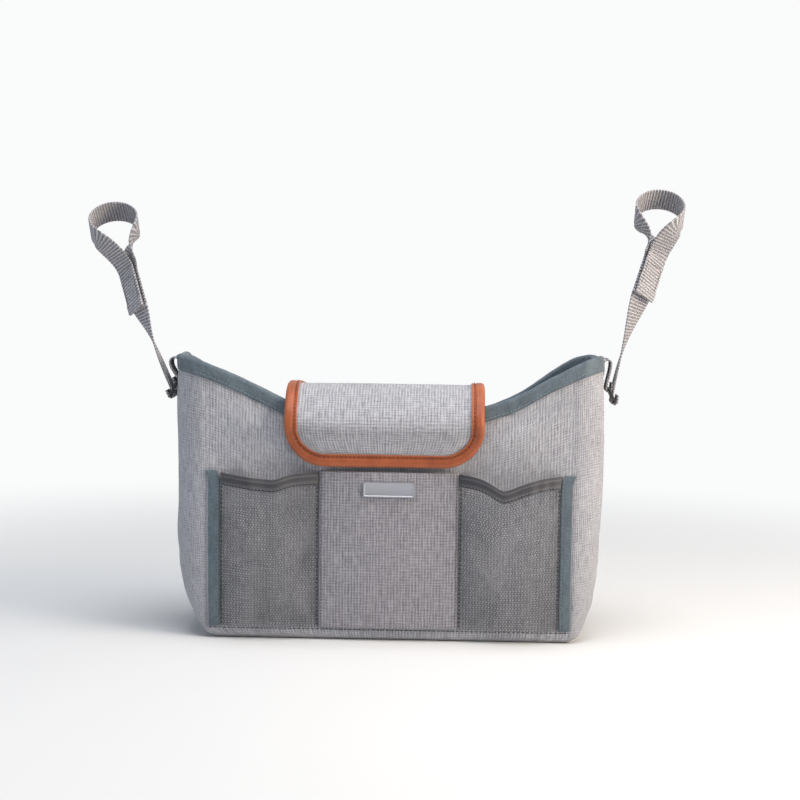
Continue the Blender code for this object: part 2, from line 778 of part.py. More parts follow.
def patches(side_name):
    """Hook and loop tapes that hold the strap's end to its own face."""
    down, across, face = closure_frame(side_name)
    low = Vector((CLOSURE_OUT[side_name], -CLOSURE_FORWARD, CLOSURE_HEIGHT[side_name]))
    level = WEB_THICKNESS / 2 + GAP
    for name in ("loop_tape", "hook_tape"):
        rings = []
        for depth in (level, level + PATCH_THICKNESS):
            corners = []
            for along, wide in ((0, -1), (0, 1), (1, 1), (1, -1)):
                reach = PATCH_MARGIN + along * (CLOSURE_LENGTH - 2 * PATCH_MARGIN)
                side_step = wide * (WEB_WIDTH / 2 - PATCH_MARGIN)
                corners.append(low - down * reach + across * side_step + face * depth)
            rings.append(outward(side_name, corners))
        loft(side_name + "_" + name, HOOKS, rings)
        level += PATCH_THICKNESS + GAP


def build():
    face_panel("front_panel", -1)
    face_panel("back_panel", 1)
    gusset("left_gusset", -1)
    gusset("right_gusset", 1)
    base_panel()
    lining()
    face_binding("front_rim_binding", -1)
    face_binding("back_rim_binding", 1)
    gusset_binding("left_rim_binding", -1)
    gusset_binding("right_rim_binding", 1)
    flap()
    flap_trim()
    snaps()
    centre_pocket()
    badge()
    for side_name in SIDES:
        net_pocket(side_name)
        side_tab(side_name)
        slider(side_name)
        handle_strap(side_name)
        patches(side_name)


build()
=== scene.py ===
"""The stroller organizer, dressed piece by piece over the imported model."""
from math import cos, exp, pi, radians, sin

import bmesh
import bpy
from mathutils import Matrix, Vector, noise


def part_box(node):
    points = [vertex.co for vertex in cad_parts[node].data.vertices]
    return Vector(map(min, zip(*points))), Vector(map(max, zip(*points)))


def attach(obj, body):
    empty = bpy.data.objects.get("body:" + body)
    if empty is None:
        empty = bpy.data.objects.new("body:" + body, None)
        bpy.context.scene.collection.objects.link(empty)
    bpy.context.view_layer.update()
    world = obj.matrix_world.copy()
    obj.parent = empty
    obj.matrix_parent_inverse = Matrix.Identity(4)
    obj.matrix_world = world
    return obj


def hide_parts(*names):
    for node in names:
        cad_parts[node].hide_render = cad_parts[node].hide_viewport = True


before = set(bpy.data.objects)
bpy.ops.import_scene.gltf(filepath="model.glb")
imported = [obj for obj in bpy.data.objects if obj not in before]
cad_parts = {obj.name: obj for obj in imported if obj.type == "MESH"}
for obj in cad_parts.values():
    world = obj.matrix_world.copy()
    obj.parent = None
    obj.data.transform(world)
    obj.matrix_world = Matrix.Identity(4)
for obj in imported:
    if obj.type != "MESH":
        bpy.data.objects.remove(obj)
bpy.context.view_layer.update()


# Studio. A pale sweep stands in for the room, and the camera looks a little down on the
# front from the right of its middle, as in the photograph.
CAMERA_TURN = radians(1.52)
CAMERA_TILT = radians(5.0)
CAMERA_ROLL = radians(0.76)
CAMERA_DISTANCE = 1.45
LENS = 80.45
AIM = Vector((0.0062, 0.0, 0.188))
ROOM_LIGHT = 0.33
PAPER_WHITE = (0.96, 0.965, 0.97, 1.0)


def add(name, data):
    """Put a new object into the scene."""
    made = bpy.data.objects.new(name, data)
    bpy.context.collection.objects.link(made)
    return made


camera = add("camera", bpy.data.cameras.new("camera"))
camera.data.lens = LENS
back_off = Vector((sin(CAMERA_TURN) * cos(CAMERA_TILT), -cos(CAMERA_TURN) * cos(CAMERA_TILT), sin(CAMERA_TILT)))
camera.location = AIM + back_off * CAMERA_DISTANCE
facing = back_off.to_track_quat("Z", "Y").to_matrix() @ Matrix.Rotation(CAMERA_ROLL, 3, "Z")
camera.rotation_euler = facing.to_euler()
bpy.context.scene.camera = camera
bpy.context.scene.view_settings.view_transform = "Standard"


def lamp(name, place, size, power, colour):
    """A soft square lamp that faces the bag."""
    data = bpy.data.lights.new(name, "AREA")
    data.size = size
    data.energy = power
    data.color = colour
    made = add(name, data)
    made.location = place
    made.rotation_euler = (Vector(place) - AIM).to_track_quat("Z", "Y").to_euler()


lamp("sky_lamp", (0.10, -0.30, 1.55), 1.0, 19.0, (0.97, 0.98, 1.0))
lamp("cool_lamp", (-1.25, -0.95, 0.75), 0.9, 3.4, (0.62, 0.79, 1.0))
lamp("warm_lamp", (1.00, -0.52, 0.60), 0.6, 13.2, (1.0, 0.87, 0.72))

world = bpy.data.worlds.new("room")
world.use_nodes = True
room = world.node_tree.nodes["Background"]
room.inputs["Color"].default_value = (0.86, 0.92, 1.0, 1.0)
room.inputs["Strength"].default_value = ROOM_LIGHT
bpy.context.scene.world = world


def material(name, roughness, metallic=0.0, sheen=0.0, specular=0.5):
    """A new finish and its shader."""
    made = bpy.data.materials.new(name)
    made.use_nodes = True
    shader = made.node_tree.nodes["Principled BSDF"]
    for socket, value in (("Roughness", roughness), ("Metallic", metallic), ("Sheen Weight", sheen),
                          ("Specular IOR Level", specular)):
        shader.inputs[socket].default_value = value
    return made, shader


def node(made, kind, sockets=None, **settings):
    """A shader node with its settings, and its sockets linked or set."""
    added = made.node_tree.nodes.new("ShaderNode" + kind)
    for key, value in settings.items():
        setattr(added, key, value)
    for key, value in (sockets or {}).items():
        if isinstance(value, bpy.types.NodeSocket):
            made.node_tree.links.new(value, added.inputs[key])
        else:
            added.inputs[key].default_value = value
    return added


def feed(made, shader, socket, value):
    made.node_tree.links.new(value, shader.inputs[socket])


def on_object(made):
    return node(made, "TexCoord").outputs["Object"]


def combine(made, operation, *values):
    """A Math node's result."""
    return node(made, "Math", dict(enumerate(values)), operation=operation).outputs[0]


def spread(made, value, low, high, to_low=0.0, to_high=1.0):
    """A value stretched from one range to another."""
    ends = {"Value": value, "From Min": low, "From Max": high, "To Min": to_low, "To Max": to_high}
    return node(made, "MapRange", ends).outputs["Result"]


def mottle(made, place, scale, detail):
    """Even noise, as dirt, dye and wear give."""
    return node(made, "TexNoise", {"Vector": place, "Scale": scale, "Detail": detail}).outputs["Fac"]


SWEEP_HALF = 4.0
SWEEP_BACK = 1.6
SWEEP_BEND = 0.9


def sweep_line():
    """Side view of the sweep as (y, z): floor, bend and wall."""
    line = [(-SWEEP_HALF, 0.0), (SWEEP_BACK, 0.0)]
    for step in range(1, 17):
        angle = step / 16 * pi / 2
        line.append((SWEEP_BACK + SWEEP_BEND * sin(angle), SWEEP_BEND * (1 - cos(angle))))
    return line + [(SWEEP_BACK + SWEEP_BEND, SWEEP_HALF)]


sweep_mesh = bpy.data.meshes.new("sweep")
sweep_points = [(x, y, z) for y, z in sweep_line() for x in (-SWEEP_HALF, SWEEP_HALF)]
sweep_faces = [(i, i + 1, i + 3, i + 2) for i in range(0, len(sweep_points) - 2, 2)]
sweep_mesh.from_pydata(sweep_points, [], sweep_faces)
sweep_mesh.shade_smooth()
sweep = add("sweep", sweep_mesh)
paper, paper_shader = material("studio_paper", 0.95)
paper_place = on_object(paper)
feed(paper, paper_shader, "Base Color", spread(paper, mottle(paper, paper_place, 3.0, 4.0), 0.0, 1.0, 0.70, 0.74))
far_off = node(paper, "VectorMath", {0: paper_place, 1: (0.0, 0.0, 0.0)}, operation="DISTANCE").outputs["Value"]
fade = node(paper, "MapRange", {"Value": far_off, "From Min": 0.25, "From Max": 1.0}, interpolation_type="SMOOTHSTEP")
rays = node(paper, "LightPath").outputs
seen = combine(paper, "MAXIMUM", rays["Is Camera Ray"], rays["Is Glossy Ray"])
seen = combine(paper, "MAXIMUM", seen, rays["Is Transmission Ray"])
share = combine(paper, "MULTIPLY", seen, fade.outputs["Result"])
white = node(paper, "Emission", {"Color": PAPER_WHITE, "Strength": 1.0}).outputs[0]
both = node(paper, "MixShader", {0: share, 1: paper_shader.outputs[0], 2: white}).outputs[0]
paper.node_tree.links.new(both, paper.node_tree.nodes["Material Output"].inputs["Surface"])
beyond = node(world, "Background", {"Color": PAPER_WHITE, "Strength": 1.0}).outputs[0]
to_camera = node(world, "LightPath").outputs["Is Camera Ray"]
around = node(world, "MixShader", {0: to_camera, 1: room.outputs[0], 2: beyond}).outputs[0]
world.node_tree.links.new(around, world.node_tree.nodes["World Output"].inputs["Surface"])
sweep_mesh.materials.append(paper)


# Bag walls. Front, sides and back are padded heather cloth sewn at four upright seams,
# standing on a stiffened base. They are laid out flat, sewn up and left to settle.
MOUTH_HALF = 0.169
BASE_HALF = 0.1445
MOUTH_DEPTH_HALF = 0.052
BASE_DEPTH_HALF = 0.047
FLARE_HEIGHT = 0.095
SEAM_HALF = 0.1442
SEAM_ROUNDING = 0.004
CORNER_HEIGHT = 0.225
RIM_MID_HEIGHT = 0.1715
RIM_CURVE = 1.75
BACK_SAG = {"left": 0.0125, "right": 0.0105}
CORNER_LIFT = 0.0038
FRONT_DIP = 0.0024
GUSSET_FULL = 0.0008
SLOUCH = {
    "left": ((0.0, 0.004), (0.006, 0.0018), (0.018, 0.0), (0.036, -0.0009), (0.054, -0.0007),
             (0.071, 0.0009), (0.107, 0.0016), (0.160, 0.0007), (0.225, 0.0)),
    "right": ((0.0, -0.0016), (0.009, -0.0031), (0.027, -0.0025), (0.044, 0.0), (0.062, 0.0012), (0.080, 0.0022),
              (0.110, 0.0018), (0.140, 0.0011), (0.168, 0.0006), (0.190, 0.0013), (0.225, 0.0028))}
WALL = 0.0024
ARC_SHARE = 0.4
BASE_ROUNDING = 0.006
WALL_LOW = 0.0006
WALL_ROWS = 76


def flare(z):
    """1 at the base, falling to 0 where the bag reaches full width."""
    return max(0.0, 1.0 - z / FLARE_HEIGHT) ** 2


def rising(value, low, high):
    """Smooth step from 0 at low to 1 at high."""
    share = min(1.0, max(0.0, (value - low) / (high - low)))
    return share * share * (3 - 2 * share)


def half_width(z, side="right"):
    """Half the bag's width at a height on one side, with the slouch of its soft side panel."""
    knots = SLOUCH[side]
    inward = knots[0][1] + sum((high[1] - low[1]) * rising(z, low[0], high[0]) for low, high in zip(knots, knots[1:]))
    return MOUTH_HALF - (MOUTH_HALF - BASE_HALF) * flare(z) - inward


def half_depth(z):
    return MOUTH_DEPTH_HALF - (MOUTH_DEPTH_HALF - BASE_DEPTH_HALF) * flare(z)


def seam_half(z, side="right"):
    return min(SEAM_HALF, half_width(z, side) - SEAM_ROUNDING)


def rim_height(x):
    """Height of the mouth's edge, highest at the corners."""
    share = min(1.0, abs(x) / MOUTH_HALF)
    return CORNER_HEIGHT - (CORNER_HEIGHT - RIM_MID_HEIGHT) * (1 - share ** 2) ** RIM_CURVE


def rim_at(x, y):
    """The rim's height; behind, the cloth hangs a little lower between the flap and the corners."""
    share = min(1.0, abs(x) / MOUTH_HALF)
    ends = (0.90, 1.05) if x < 0 else (0.60, 0.92)
    sag = BACK_SAG["left" if x < 0 else "right"] * (1 - rising(share, *ends)) * rising(share, 0.25, 0.50)
    front = 1 - rising(y, -0.040, 0.0)
    dip = FRONT_DIP * rising(share, 0.42, 0.58) * (1 - rising(share, 0.60, 0.75)) * front
    lift = CORNER_LIFT * rising(share, 0.70, 1.0) * front
    return rim_height(x) - sag * rising(y, 0.0, 0.030) + (lift - dip if x > 0 else 0.0)


def side_point(t, z, depth=0.0, side="right"):
    """Point on a side panel, t from 0 at one seam to 1 at the other, as if it were the right one."""
    radius = half_width(z, side) - seam_half(z, side)
    middle = half_depth(z) - radius
    full = GUSSET_FULL * rising(min(t, 1 - t), 0.05, 0.5)
    if ARC_SHARE <= t <= 1 - ARC_SHARE:
        along = (t - ARC_SHARE) / (1 - 2 * ARC_SHARE)
        return Vector((half_width(z, side) + full - depth, middle * (2 * along - 1), z))
    angle = pi / 2 * min(t, 1 - t) / ARC_SHARE
    x = seam_half(z, side) + (radius - depth) * sin(angle) + full
    y = middle + (radius - depth) * cos(angle)
    return Vector((x, y if t > 0.5 else -y, z))


def round_bag(front_columns, side_columns):
    """Columns all the way round: 0 to 1 is the front, 1 to 2 the right side, and so on."""
    made = []
    for face, count in enumerate((front_columns, side_columns) * 2):
        made += [face + k / count for k in range(count)]
    return made


def bag_point(way, z_of, depth=0.0):
    """Point a way round the bag; z_of turns the rim's height there into a height."""
    face, share = divmod(way % 4, 1)
    turn = -1 if face >= 2 else 1
    if face % 2 == 0:
        across = 2 * share - 1
        z = z_of(rim_at(turn * across * SEAM_HALF, -turn * MOUTH_DEPTH_HALF))
        tuck = base_tuck(z)
        seam = seam_half(z, "left" if turn * across < 0 else "right")
        point = Vector((across * (seam - tuck), tuck + depth - half_depth(z), z))
    else:
        side = "left" if turn < 0 else "right"
        corner = side_point(share, CORNER_HEIGHT)
        z = z_of(rim_at(turn * corner.x, turn * corner.y))
        point = side_point(share, z, depth, side)
        tuck = base_tuck(z)
        point.x -= tuck
        point.y *= 1 - tuck / half_depth(z)
    return Vector((turn * point.x, turn * point.y, z))


def base_tuck(z):
    """How far the wall turns in where it rolls under the bag."""
    past = max(0.0, BASE_ROUNDING - z)
    return BASE_ROUNDING - (BASE_ROUNDING ** 2 - past ** 2) ** 0.5


def ripple(point, size):
    """Smooth wander from -1 to 1 whose waves are about as long as size."""
    return noise.noise(point / size)


def as_object(name, bm):
    """Turn a bmesh into an object."""
    mesh = bpy.data.meshes.new(name)
    bm.to_mesh(mesh)
    bm.free()
    return add(name, mesh)


def cloth_grid(name, columns, rows, place, cut, closed=False):
    """A cloth of square faces; place(i, j) gives its points and cut its width and length."""
    bm = bmesh.new()
    weave = bm.loops.layers.uv.new("weave")
    across = columns if closed else columns + 1
    lines = [[bm.verts.new(place(i, j)) for i in range(across)] for j in range(rows + 1)]
    for j in range(rows):
        for i in range(columns):
            k = (i + 1) % across
            face = bm.faces.new((lines[j][i], lines[j][k], lines[j + 1][k], lines[j + 1][i]))
            face.smooth = True
            for loop, (a, b) in zip(face.loops, ((i, j), (i + 1, j), (i + 1, j + 1), (i, j + 1))):
                loop[weave].uv = (cut[0] * a / columns, cut[1] * b / rows)
    return as_object(name, bm)


def apply_all(piece):
    """Apply every modifier on a piece."""
    bpy.ops.object.select_all(action="DESELECT")
    piece.select_set(True)
    bpy.context.view_layer.objects.active = piece
    for modifier in list(piece.modifiers):
        bpy.ops.object.modifier_apply(modifier=modifier.name)


def give_wall(piece, thickness, offset=-1.0):
    """Give a cloth its thickness, inwards unless told otherwise."""
    wall = piece.modifiers.new("wall", "SOLIDIFY")
    wall.thickness = thickness
    wall.offset = offset
    wall.use_even_offset = True
    apply_all(piece)


def settle(piece, sewn, grow, press, steps, limit, inner):
    """Let a cloth that is cut a little large buckle and drop between its seams."""
    start = [vert.co.copy() for vert in piece.data.vertices]
    group = piece.vertex_groups.new(name="sewn")
    for index, hold in enumerate(sewn):
        group.add([index], hold, "REPLACE")
    cloth = piece.modifiers.new("settle", "CLOTH")
    rules = cloth.settings
    rules.quality = 4
    rules.mass = 0.15
    rules.tension_stiffness = 10
    rules.compression_stiffness = 10
    rules.shear_stiffness = 3
    rules.bending_stiffness = 1.2
    rules.vertex_group_mass = "sewn"
    rules.shrink_min = -grow
    rules.use_pressure = True
    rules.uniform_pressure_force = press
    rules.effector_weights.gravity = 0.25
    cloth.collision_settings.use_collision = False
    cloth.point_cache.frame_end = steps
    for step in range(1, steps + 1):
        bpy.context.scene.frame_set(step)
    moved = piece.evaluated_get(bpy.context.evaluated_depsgraph_get()).data.vertices
    places = [vert.co.copy() for vert in moved]
    piece.modifiers.remove(cloth)
    piece.vertex_groups.clear()
    bpy.context.scene.frame_set(1)
    outward = [vert.normal.copy() for vert in piece.data.vertices]
    rises = [(now - was).dot(out) for was, now, out in zip(start, places, outward)]
    rises = [max(-inner, min(limit, rise)) * (1 - hold) for rise, hold in zip(rises, sewn)]
    pairs = [tuple(edge.vertices) for edge in piece.data.edges]
    for calm in range(3):
        sums, counts = rises[:], [1] * len(rises)
        for a, b in pairs:
            sums[a] += rises[b]
            sums[b] += rises[a]
            counts[a] += 1
            counts[b] += 1
        rises = [total / count * (1 - hold) for total, count, hold in zip(sums, counts, sewn)]
    for vert, was, out, rise in zip(piece.data.vertices, start, outward, rises):
        vert.co = was + out * rise


def on_weave(made):
    """Places along and across a cloth, in metres."""
    return node(made, "UVMap", uv_map="weave").outputs["UV"]


def bands(made, place, way, scale, distortion=0.0, detail_scale=1.0):
    """Parallel waves across a way, wandering by the distortion."""
    sockets = {"Vector": place, "Scale": scale, "Distortion": distortion, "Detail Scale": detail_scale}
    return node(made, "TexWave", sockets, bands_direction=way).outputs["Fac"]


def emboss(made, shader, height, strength, distance):
    """Bump from a height."""
    bump = node(made, "Bump", {"Height": height, "Strength": strength, "Distance": distance})
    feed(made, shader, "Normal", bump.outputs["Normal"])


HEATHER_LIGHT = (0.55, 0.55, 0.59, 1.0)
HEATHER_MID = (0.40, 0.40, 0.43, 1.0)
HEATHER_DARK = (0.24, 0.24, 0.27, 1.0)
WAVE = 0.314
THREAD_PITCH = 0.0024
PICK_PITCH = 0.0021


def streaks(made, cloth_place, wide, long, upright, detail=2.0):
    """Noise drawn out along the warp or across it, as uneven yarn gives."""
    scale = (1 / wide, 1 / long, 1.0) if upright else (1 / long, 1 / wide, 1.0)
    stretched = node(made, "Mapping", {"Vector": cloth_place, "Scale": scale})
    return node(made, "TexNoise", {"Vector": stretched.outputs["Vector"], "Scale": 1.0,
                                   "Detail": detail, "Roughness": 0.6}).outputs["Fac"]


def blend_colour(made, factor, first, second):
    """Mix two colours, each a socket or a value."""
    return node(made, "Mix", {0: factor, 6: first, 7: second}, data_type="RGBA").outputs[2]


def heather(name, tint=(1.0, 1.0, 1.0), light=1.0):
    """Plain-woven melange cloth: pale and dark yarns both ways, with slubs."""
    made, shader = material(name, 0.92, sheen=0.25, specular=0.2)
    place = on_weave(made)
    warp = streaks(made, place, 0.0009, 0.012, True)
    weft = streaks(made, place, 0.0008, 0.009, False)
    slub_up = streaks(made, place, 0.0018, 0.030, True, 3.0)
    slub_over = streaks(made, place, 0.0013, 0.022, False, 3.0)
    both = combine(made, "MULTIPLY_ADD", warp, 1.35, weft)
    slubs = combine(made, "ADD", slub_up, slub_over)
    ends = bands(made, place, "X", WAVE / THREAD_PITCH, 1.6, 1.2)
    picks = bands(made, place, "Y", WAVE / PICK_PITCH, 2.2, 1.2)
    grid = combine(made, "MULTIPLY_ADD", picks, 0.55, ends)
    all_yarn = combine(made, "MULTIPLY_ADD", slubs, 0.28, both)
    all_yarn = combine(made, "MULTIPLY_ADD", grid, 0.36, all_yarn)
    tone = spread(made, all_yarn, 1.38, 2.10)
    ramp = node(made, "ValToRGB", {"Fac": tone})
    stops = ramp.color_ramp
    for stop, colour in zip((stops.elements[0], stops.elements.new(0.5), stops.elements[-1]),
                            (HEATHER_DARK, HEATHER_MID, HEATHER_LIGHT)):
        stop.color = [c * t * light for c, t in zip(colour, (*tint, 1.0))]
    worn = spread(made, mottle(made, place, 14.0, 3.0), 0.0, 1.0, 0.90, 1.08)
    hue = node(made, "HueSaturation", {"Color": ramp.outputs["Color"], "Value": worn}).outputs["Color"]
    feed(made, shader, "Base Color", hue)
    weave = combine(made, "MULTIPLY", *(bands(made, place, way, 520.0) for way in "XY"))
    height = combine(made, "ADD", all_yarn, weave)
    emboss(made, shader, height, 0.55, 0.0004)
    shader.inputs["Sheen Roughness"].default_value = 0.5
    return made


POCKET_HALF = 0.0552
POCKET_LOW = 0.0105
POCKET_HIGH = 0.135
SIDE_BINDING_WIDTH = 0.010
BINDING_HEIGHT = 0.012
TAB_LOW = 0.156
WEB_WIDTH = 0.020
FLAP_HALF = 0.0780
FLAP_SEWN_LOW = 0.1612
SEWN_MARGIN = 0.002
RIM_TUCK = 0.0012
SEAM_SUNK = 0.0008
WALL_WAYS = round_bag(96, 44)
WALL_CUT = (0.844, 0.226)
BELLIES = ((0.100, 0.163, 0.030, 0.018, 0.0034), (0.134, 0.176, 0.010, 0.024, 0.0020),
           (-0.112, 0.172, 0.030, 0.020, 0.0026), (-0.088, 0.148, 0.028, 0.010, 0.0020))


def slack(way, point):
    """How far the padded cloth stands out between its seams, in bellies and soft upright folds."""
    face, share = divmod(way % 4, 1)
    free = rising(rim_at(point.x, point.y) - point.z, BINDING_HEIGHT, 0.034) * rising(point.z, 0.006, 0.030)
    free *= rising(min(share, 1 - share), 0.0, 0.12)
    if face % 2:
        free *= 1 - rising(point.z, TAB_LOW - 0.020, TAB_LOW) * (1 - rising(abs(point.y), 0.012, 0.022))
        folds = 0.55 + ripple(Vector((point.y * 1.9, point.z * 0.45, point.x * 3)), 0.032)
        return 0.0007 * max(0.0, folds) * free
    if face == 2:
        sewn = (1 - rising(abs(point.x), 0.086, 0.100)) * rising(point.z, 0.135, 0.155)
        free *= 1 - sewn
    folds = 0.5 + ripple(Vector((point.x, point.y * 9, point.z * 0.8)), 0.040)
    out = 0.0014 * max(0.0, folds) * free
    if face == 0:
        for x, z, wide, tall, rise in BELLIES:
            out += rise * free * exp(-((point.x - x) / wide) ** 2 - ((point.z - z) / tall) ** 2)
        out *= rising(point.z, POCKET_HIGH - 0.006, POCKET_HIGH + 0.010) if abs(point.x) < SEAM_HALF - 0.002 else 1.0
    return out


def wall_place(i, j):
    """The wall as it is sewn up, before it settles."""
    share = j / WALL_ROWS
    way = WALL_WAYS[i]
    flat = bag_point(way, lambda rim: WALL_LOW + share * (rim - RIM_TUCK - WALL_LOW))
    sunk = SEAM_SUNK * rising(flat.z, 0.004, 0.012) if way % 1 == 0 else 0.0
    return bag_point(way, lambda rim: flat.z, sunk - slack(way, flat))


def held_at(i, j):
    """1 where a seam or a sewn-on piece holds the wall, and 0 where it is free."""
    point = wall_place(i, j)
    face, share = divmod(WALL_WAYS[i], 1)
    if j <= 1 or share == 0 or rim_at(point.x, point.y) - point.z < BINDING_HEIGHT:
        return 1.0
    out = abs(point.x)
    if face % 2 == 1:
        return float(point.z > TAB_LOW and abs(point.y) < WEB_WIDTH / 2 + SEWN_MARGIN)
    if face == 2:
        return float(out < FLAP_HALF and point.z > FLAP_SEWN_LOW)
    if point.z > POCKET_HIGH + SEWN_MARGIN:
        return 0.0
    at_side = out > SEAM_HALF - SIDE_BINDING_WIDTH - SEWN_MARGIN
    at_middle = abs(out - POCKET_HALF) < SEWN_MARGIN
    return float(at_side or at_middle or point.z < POCKET_LOW + SEWN_MARGIN)


walls = cloth_grid("bag_walls", len(WALL_WAYS), WALL_ROWS, wall_place, WALL_CUT, closed=True)
held = [held_at(i, j) for j in range(WALL_ROWS + 1) for i in range(len(WALL_WAYS))]
settle(walls, held, 0.012, 0.6, 24, 0.0018, 0.0002)
give_wall(walls, WALL)


def dress(piece, look, slot_name, *nodes):
    """Give a piece its finish, its body and the nodes that it stands for."""
    piece.data.materials.clear()
    piece.data.materials.append(look)
    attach(piece, "root")
    if nodes:
        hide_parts(*nodes)
    return piece


cloth = heather("heather_cloth")
dress(walls, cloth, "heather_cloth", "front_panel", "back_panel", "left_gusset", "right_gusset")


# Base. A stiff board covered in the same cloth, flat underneath so that the bag can stand.
BASE_SECTION = ((0.0105, 0.0002), (0.0072, 0.0003), (0.0062, 0.0009), (0.0060, 0.0018),
                (0.0064, 0.0026), (0.0076, 0.0030), (0.0105, 0.0030))


def reshape(piece, change):
    """Change a piece's mesh through a bmesh."""
    bm = bmesh.new()
    bm.from_mesh(piece.data)
    change(bm)
    bm.to_mesh(piece.data)
    bm.free()


def close_ends(bm):
    """Cap the two open ends of a ring of cloth with flat faces."""
    weave = bm.loops.layers.uv["weave"]
    border = [edge for edge in bm.edges if edge.is_boundary]
    made = bmesh.ops.holes_fill(bm, edges=border, sides=0)["faces"]
    for face in made:
        for loop in face.loops:
            loop[weave].uv = (loop.vert.co.x, loop.vert.co.y)
    bmesh.ops.recalc_face_normals(bm, faces=bm.faces)


def base_place(i, j):
    inset, z = BASE_SECTION[j]
    edge = bag_point(WALL_WAYS[i], lambda rim: BASE_ROUNDING)
    return Vector((edge.x * (1 - inset / BASE_HALF), edge.y * (1 - inset / BASE_DEPTH_HALF), z))


base = cloth_grid("base_cover", len(WALL_WAYS), len(BASE_SECTION) - 1, base_place, (0.80, 0.01), closed=True)
reshape(base, close_ends)
dress(base, cloth, "heather_cloth", "base_panel")


# Lining. A thin slate bag sewn in at the rim, a little loose against the walls.
LINING = 0.0006
LINING_GAP = 0.0004
LINING_WAYS = round_bag(80, 36)
LINING_FLOOR = 0.0042
LINING_ROWS = 60
FLOOR_ROWS = 10
LINING_FOLD = 0.0018


def lining_place(i, j):
    """The floor from its middle outwards, then up the wall to the rim."""
    way = LINING_WAYS[i]
    if j <= FLOOR_ROWS:
        edge = bag_point(way, lambda rim: LINING_FLOOR, WALL + LINING_GAP + LINING)
        share = j / FLOOR_ROWS
        return Vector((edge.x * share, edge.y * share, LINING_FLOOR))
    share = (j - FLOOR_ROWS) / (LINING_ROWS - FLOOR_ROWS)
    point = bag_point(way, lambda rim: LINING_FLOOR + share * (rim - 0.002 - LINING_FLOOR))
    loose = sin(pi * min(1.0, share)) ** 0.5 * LINING_FOLD
    fold = max(0.0, ripple(Vector((point.x, point.y, point.z * 0.35)), 0.022) + 0.35)
    return bag_point(way, lambda rim: point.z, WALL + LINING_GAP + LINING + loose * fold)


def shade(colour, by=1.0):
    """A colour made darker or paler, with its alpha."""
    return (*(min(1.0, c * by) for c in colour), 1.0)


def plain_weave(name, base_colour, rough, yarn, bump, fade=0.15):
    """Tight tape or lining cloth: one colour, fine crossing yarns and a little fading."""
    made, shader = material(name, rough, sheen=0.2, specular=0.25)
    place = on_weave(made)
    fine = streaks(made, place, yarn, yarn * 9, True)
    over = streaks(made, place, yarn * 9, yarn, True)
    worn = mottle(made, place, 60.0, 5.0)
    both = combine(made, "ADD", fine, over)
    total = combine(made, "ADD", both, worn)
    tone = spread(made, total, 1.1, 1.9)
    ends = (shade(base_colour, by) for by in (1 - fade, 1 + 2 * fade))
    feed(made, shader, "Base Color", blend_colour(made, tone, *ends))
    ribs = bands(made, place, "X", WAVE / yarn)
    height = combine(made, "ADD", ribs, both)
    normal = node(made, "Bump", {"Height": height, "Strength": bump, "Distance": 0.0003}).outputs["Normal"]
    feed(made, shader, "Normal", normal)
    return made


lining = cloth_grid("lining_bag", len(LINING_WAYS), LINING_ROWS, lining_place, (0.83, 0.27), closed=True)
reshape(lining, lambda bm: bmesh.ops.remove_doubles(bm, verts=bm.verts, dist=1e-6))
give_wall(lining, LINING, 1.0)
lining_cloth = plain_weave("lining_cloth", (0.065, 0.083, 0.098), 0.75, 0.0005, 0.35)
dress(lining, lining_cloth, "slate_binding", "lining")


# Rim binding. Slate tape folded over the walls' upper edge and sewn through all layers,
# crinkled where it was eased round the dips.
BINDING_GAP = 0.0003
BINDING_WALL = 0.0007
RIM_OUT = BINDING_GAP + BINDING_WALL
RIM_IN = WALL + LINING_GAP + LINING + BINDING_GAP + BINDING_WALL
RIM_WAYS = round_bag(210, 92)
RIM_SIDE_ROWS = 9
RIM_TOP_ROWS = 6
RIM_ROWS = 2 * RIM_SIDE_ROWS + RIM_TOP_ROWS
STITCH_DROP = 0.0099
CRINKLE = 0.0011


def crinkle(point, seed):
    """Fine creases that run mostly up and down a tape."""
    along = Vector((point.x, point.y, point.z * 0.45 + seed))
    return 0.65 * ripple(along, 0.0065) + 0.5 * ripple(along, 0.0150)


def rim_place(i, j):
    """Round the tape's fold from its outer lower edge, over the rim, to its inner one."""
    way = RIM_WAYS[i]
    middle = (RIM_IN - RIM_OUT) / 2
    half = (RIM_IN + RIM_OUT) / 2
    if j < RIM_SIDE_ROWS:
        depth, drop = -RIM_OUT, BINDING_HEIGHT + (half - BINDING_HEIGHT) * j / RIM_SIDE_ROWS
    elif j <= RIM_SIDE_ROWS + RIM_TOP_ROWS:
        angle = pi * (j - RIM_SIDE_ROWS) / RIM_TOP_ROWS
        depth, drop = middle - half * cos(angle), half * (1 - sin(angle))
    else:
        back = j - RIM_SIDE_ROWS - RIM_TOP_ROWS
        depth, drop = RIM_IN, half + (BINDING_HEIGHT - half) * back / RIM_SIDE_ROWS
    flat = bag_point(way, lambda rim: rim - drop)
    push = CRINKLE * crinkle(flat, 1.0 if depth < middle else 5.0)
    pull = 0.00025 * max(0.0, 1 - abs(drop - STITCH_DROP) / 0.0012)
    wander = 0.0005 * ripple(flat, 0.028) + 0.0003 * ripple(flat, 0.009)
    if depth < middle:
        depth -= push + 0.0002 - pull
    else:
        depth += push + 0.0002 - pull
    return bag_point(way, lambda rim: rim - drop + wander, depth)


rim = cloth_grid("rim_binding", len(RIM_WAYS), RIM_ROWS, rim_place, (0.848, 0.028), closed=True)
give_wall(rim, BINDING_WALL)
slate = plain_weave("slate_tape", (0.108, 0.138, 0.162), 0.8, 0.0006, 0.6, 0.30)
dress(rim, slate, "slate_binding", "front_rim_binding", "back_rim_binding", "left_rim_binding", "right_rim_binding")


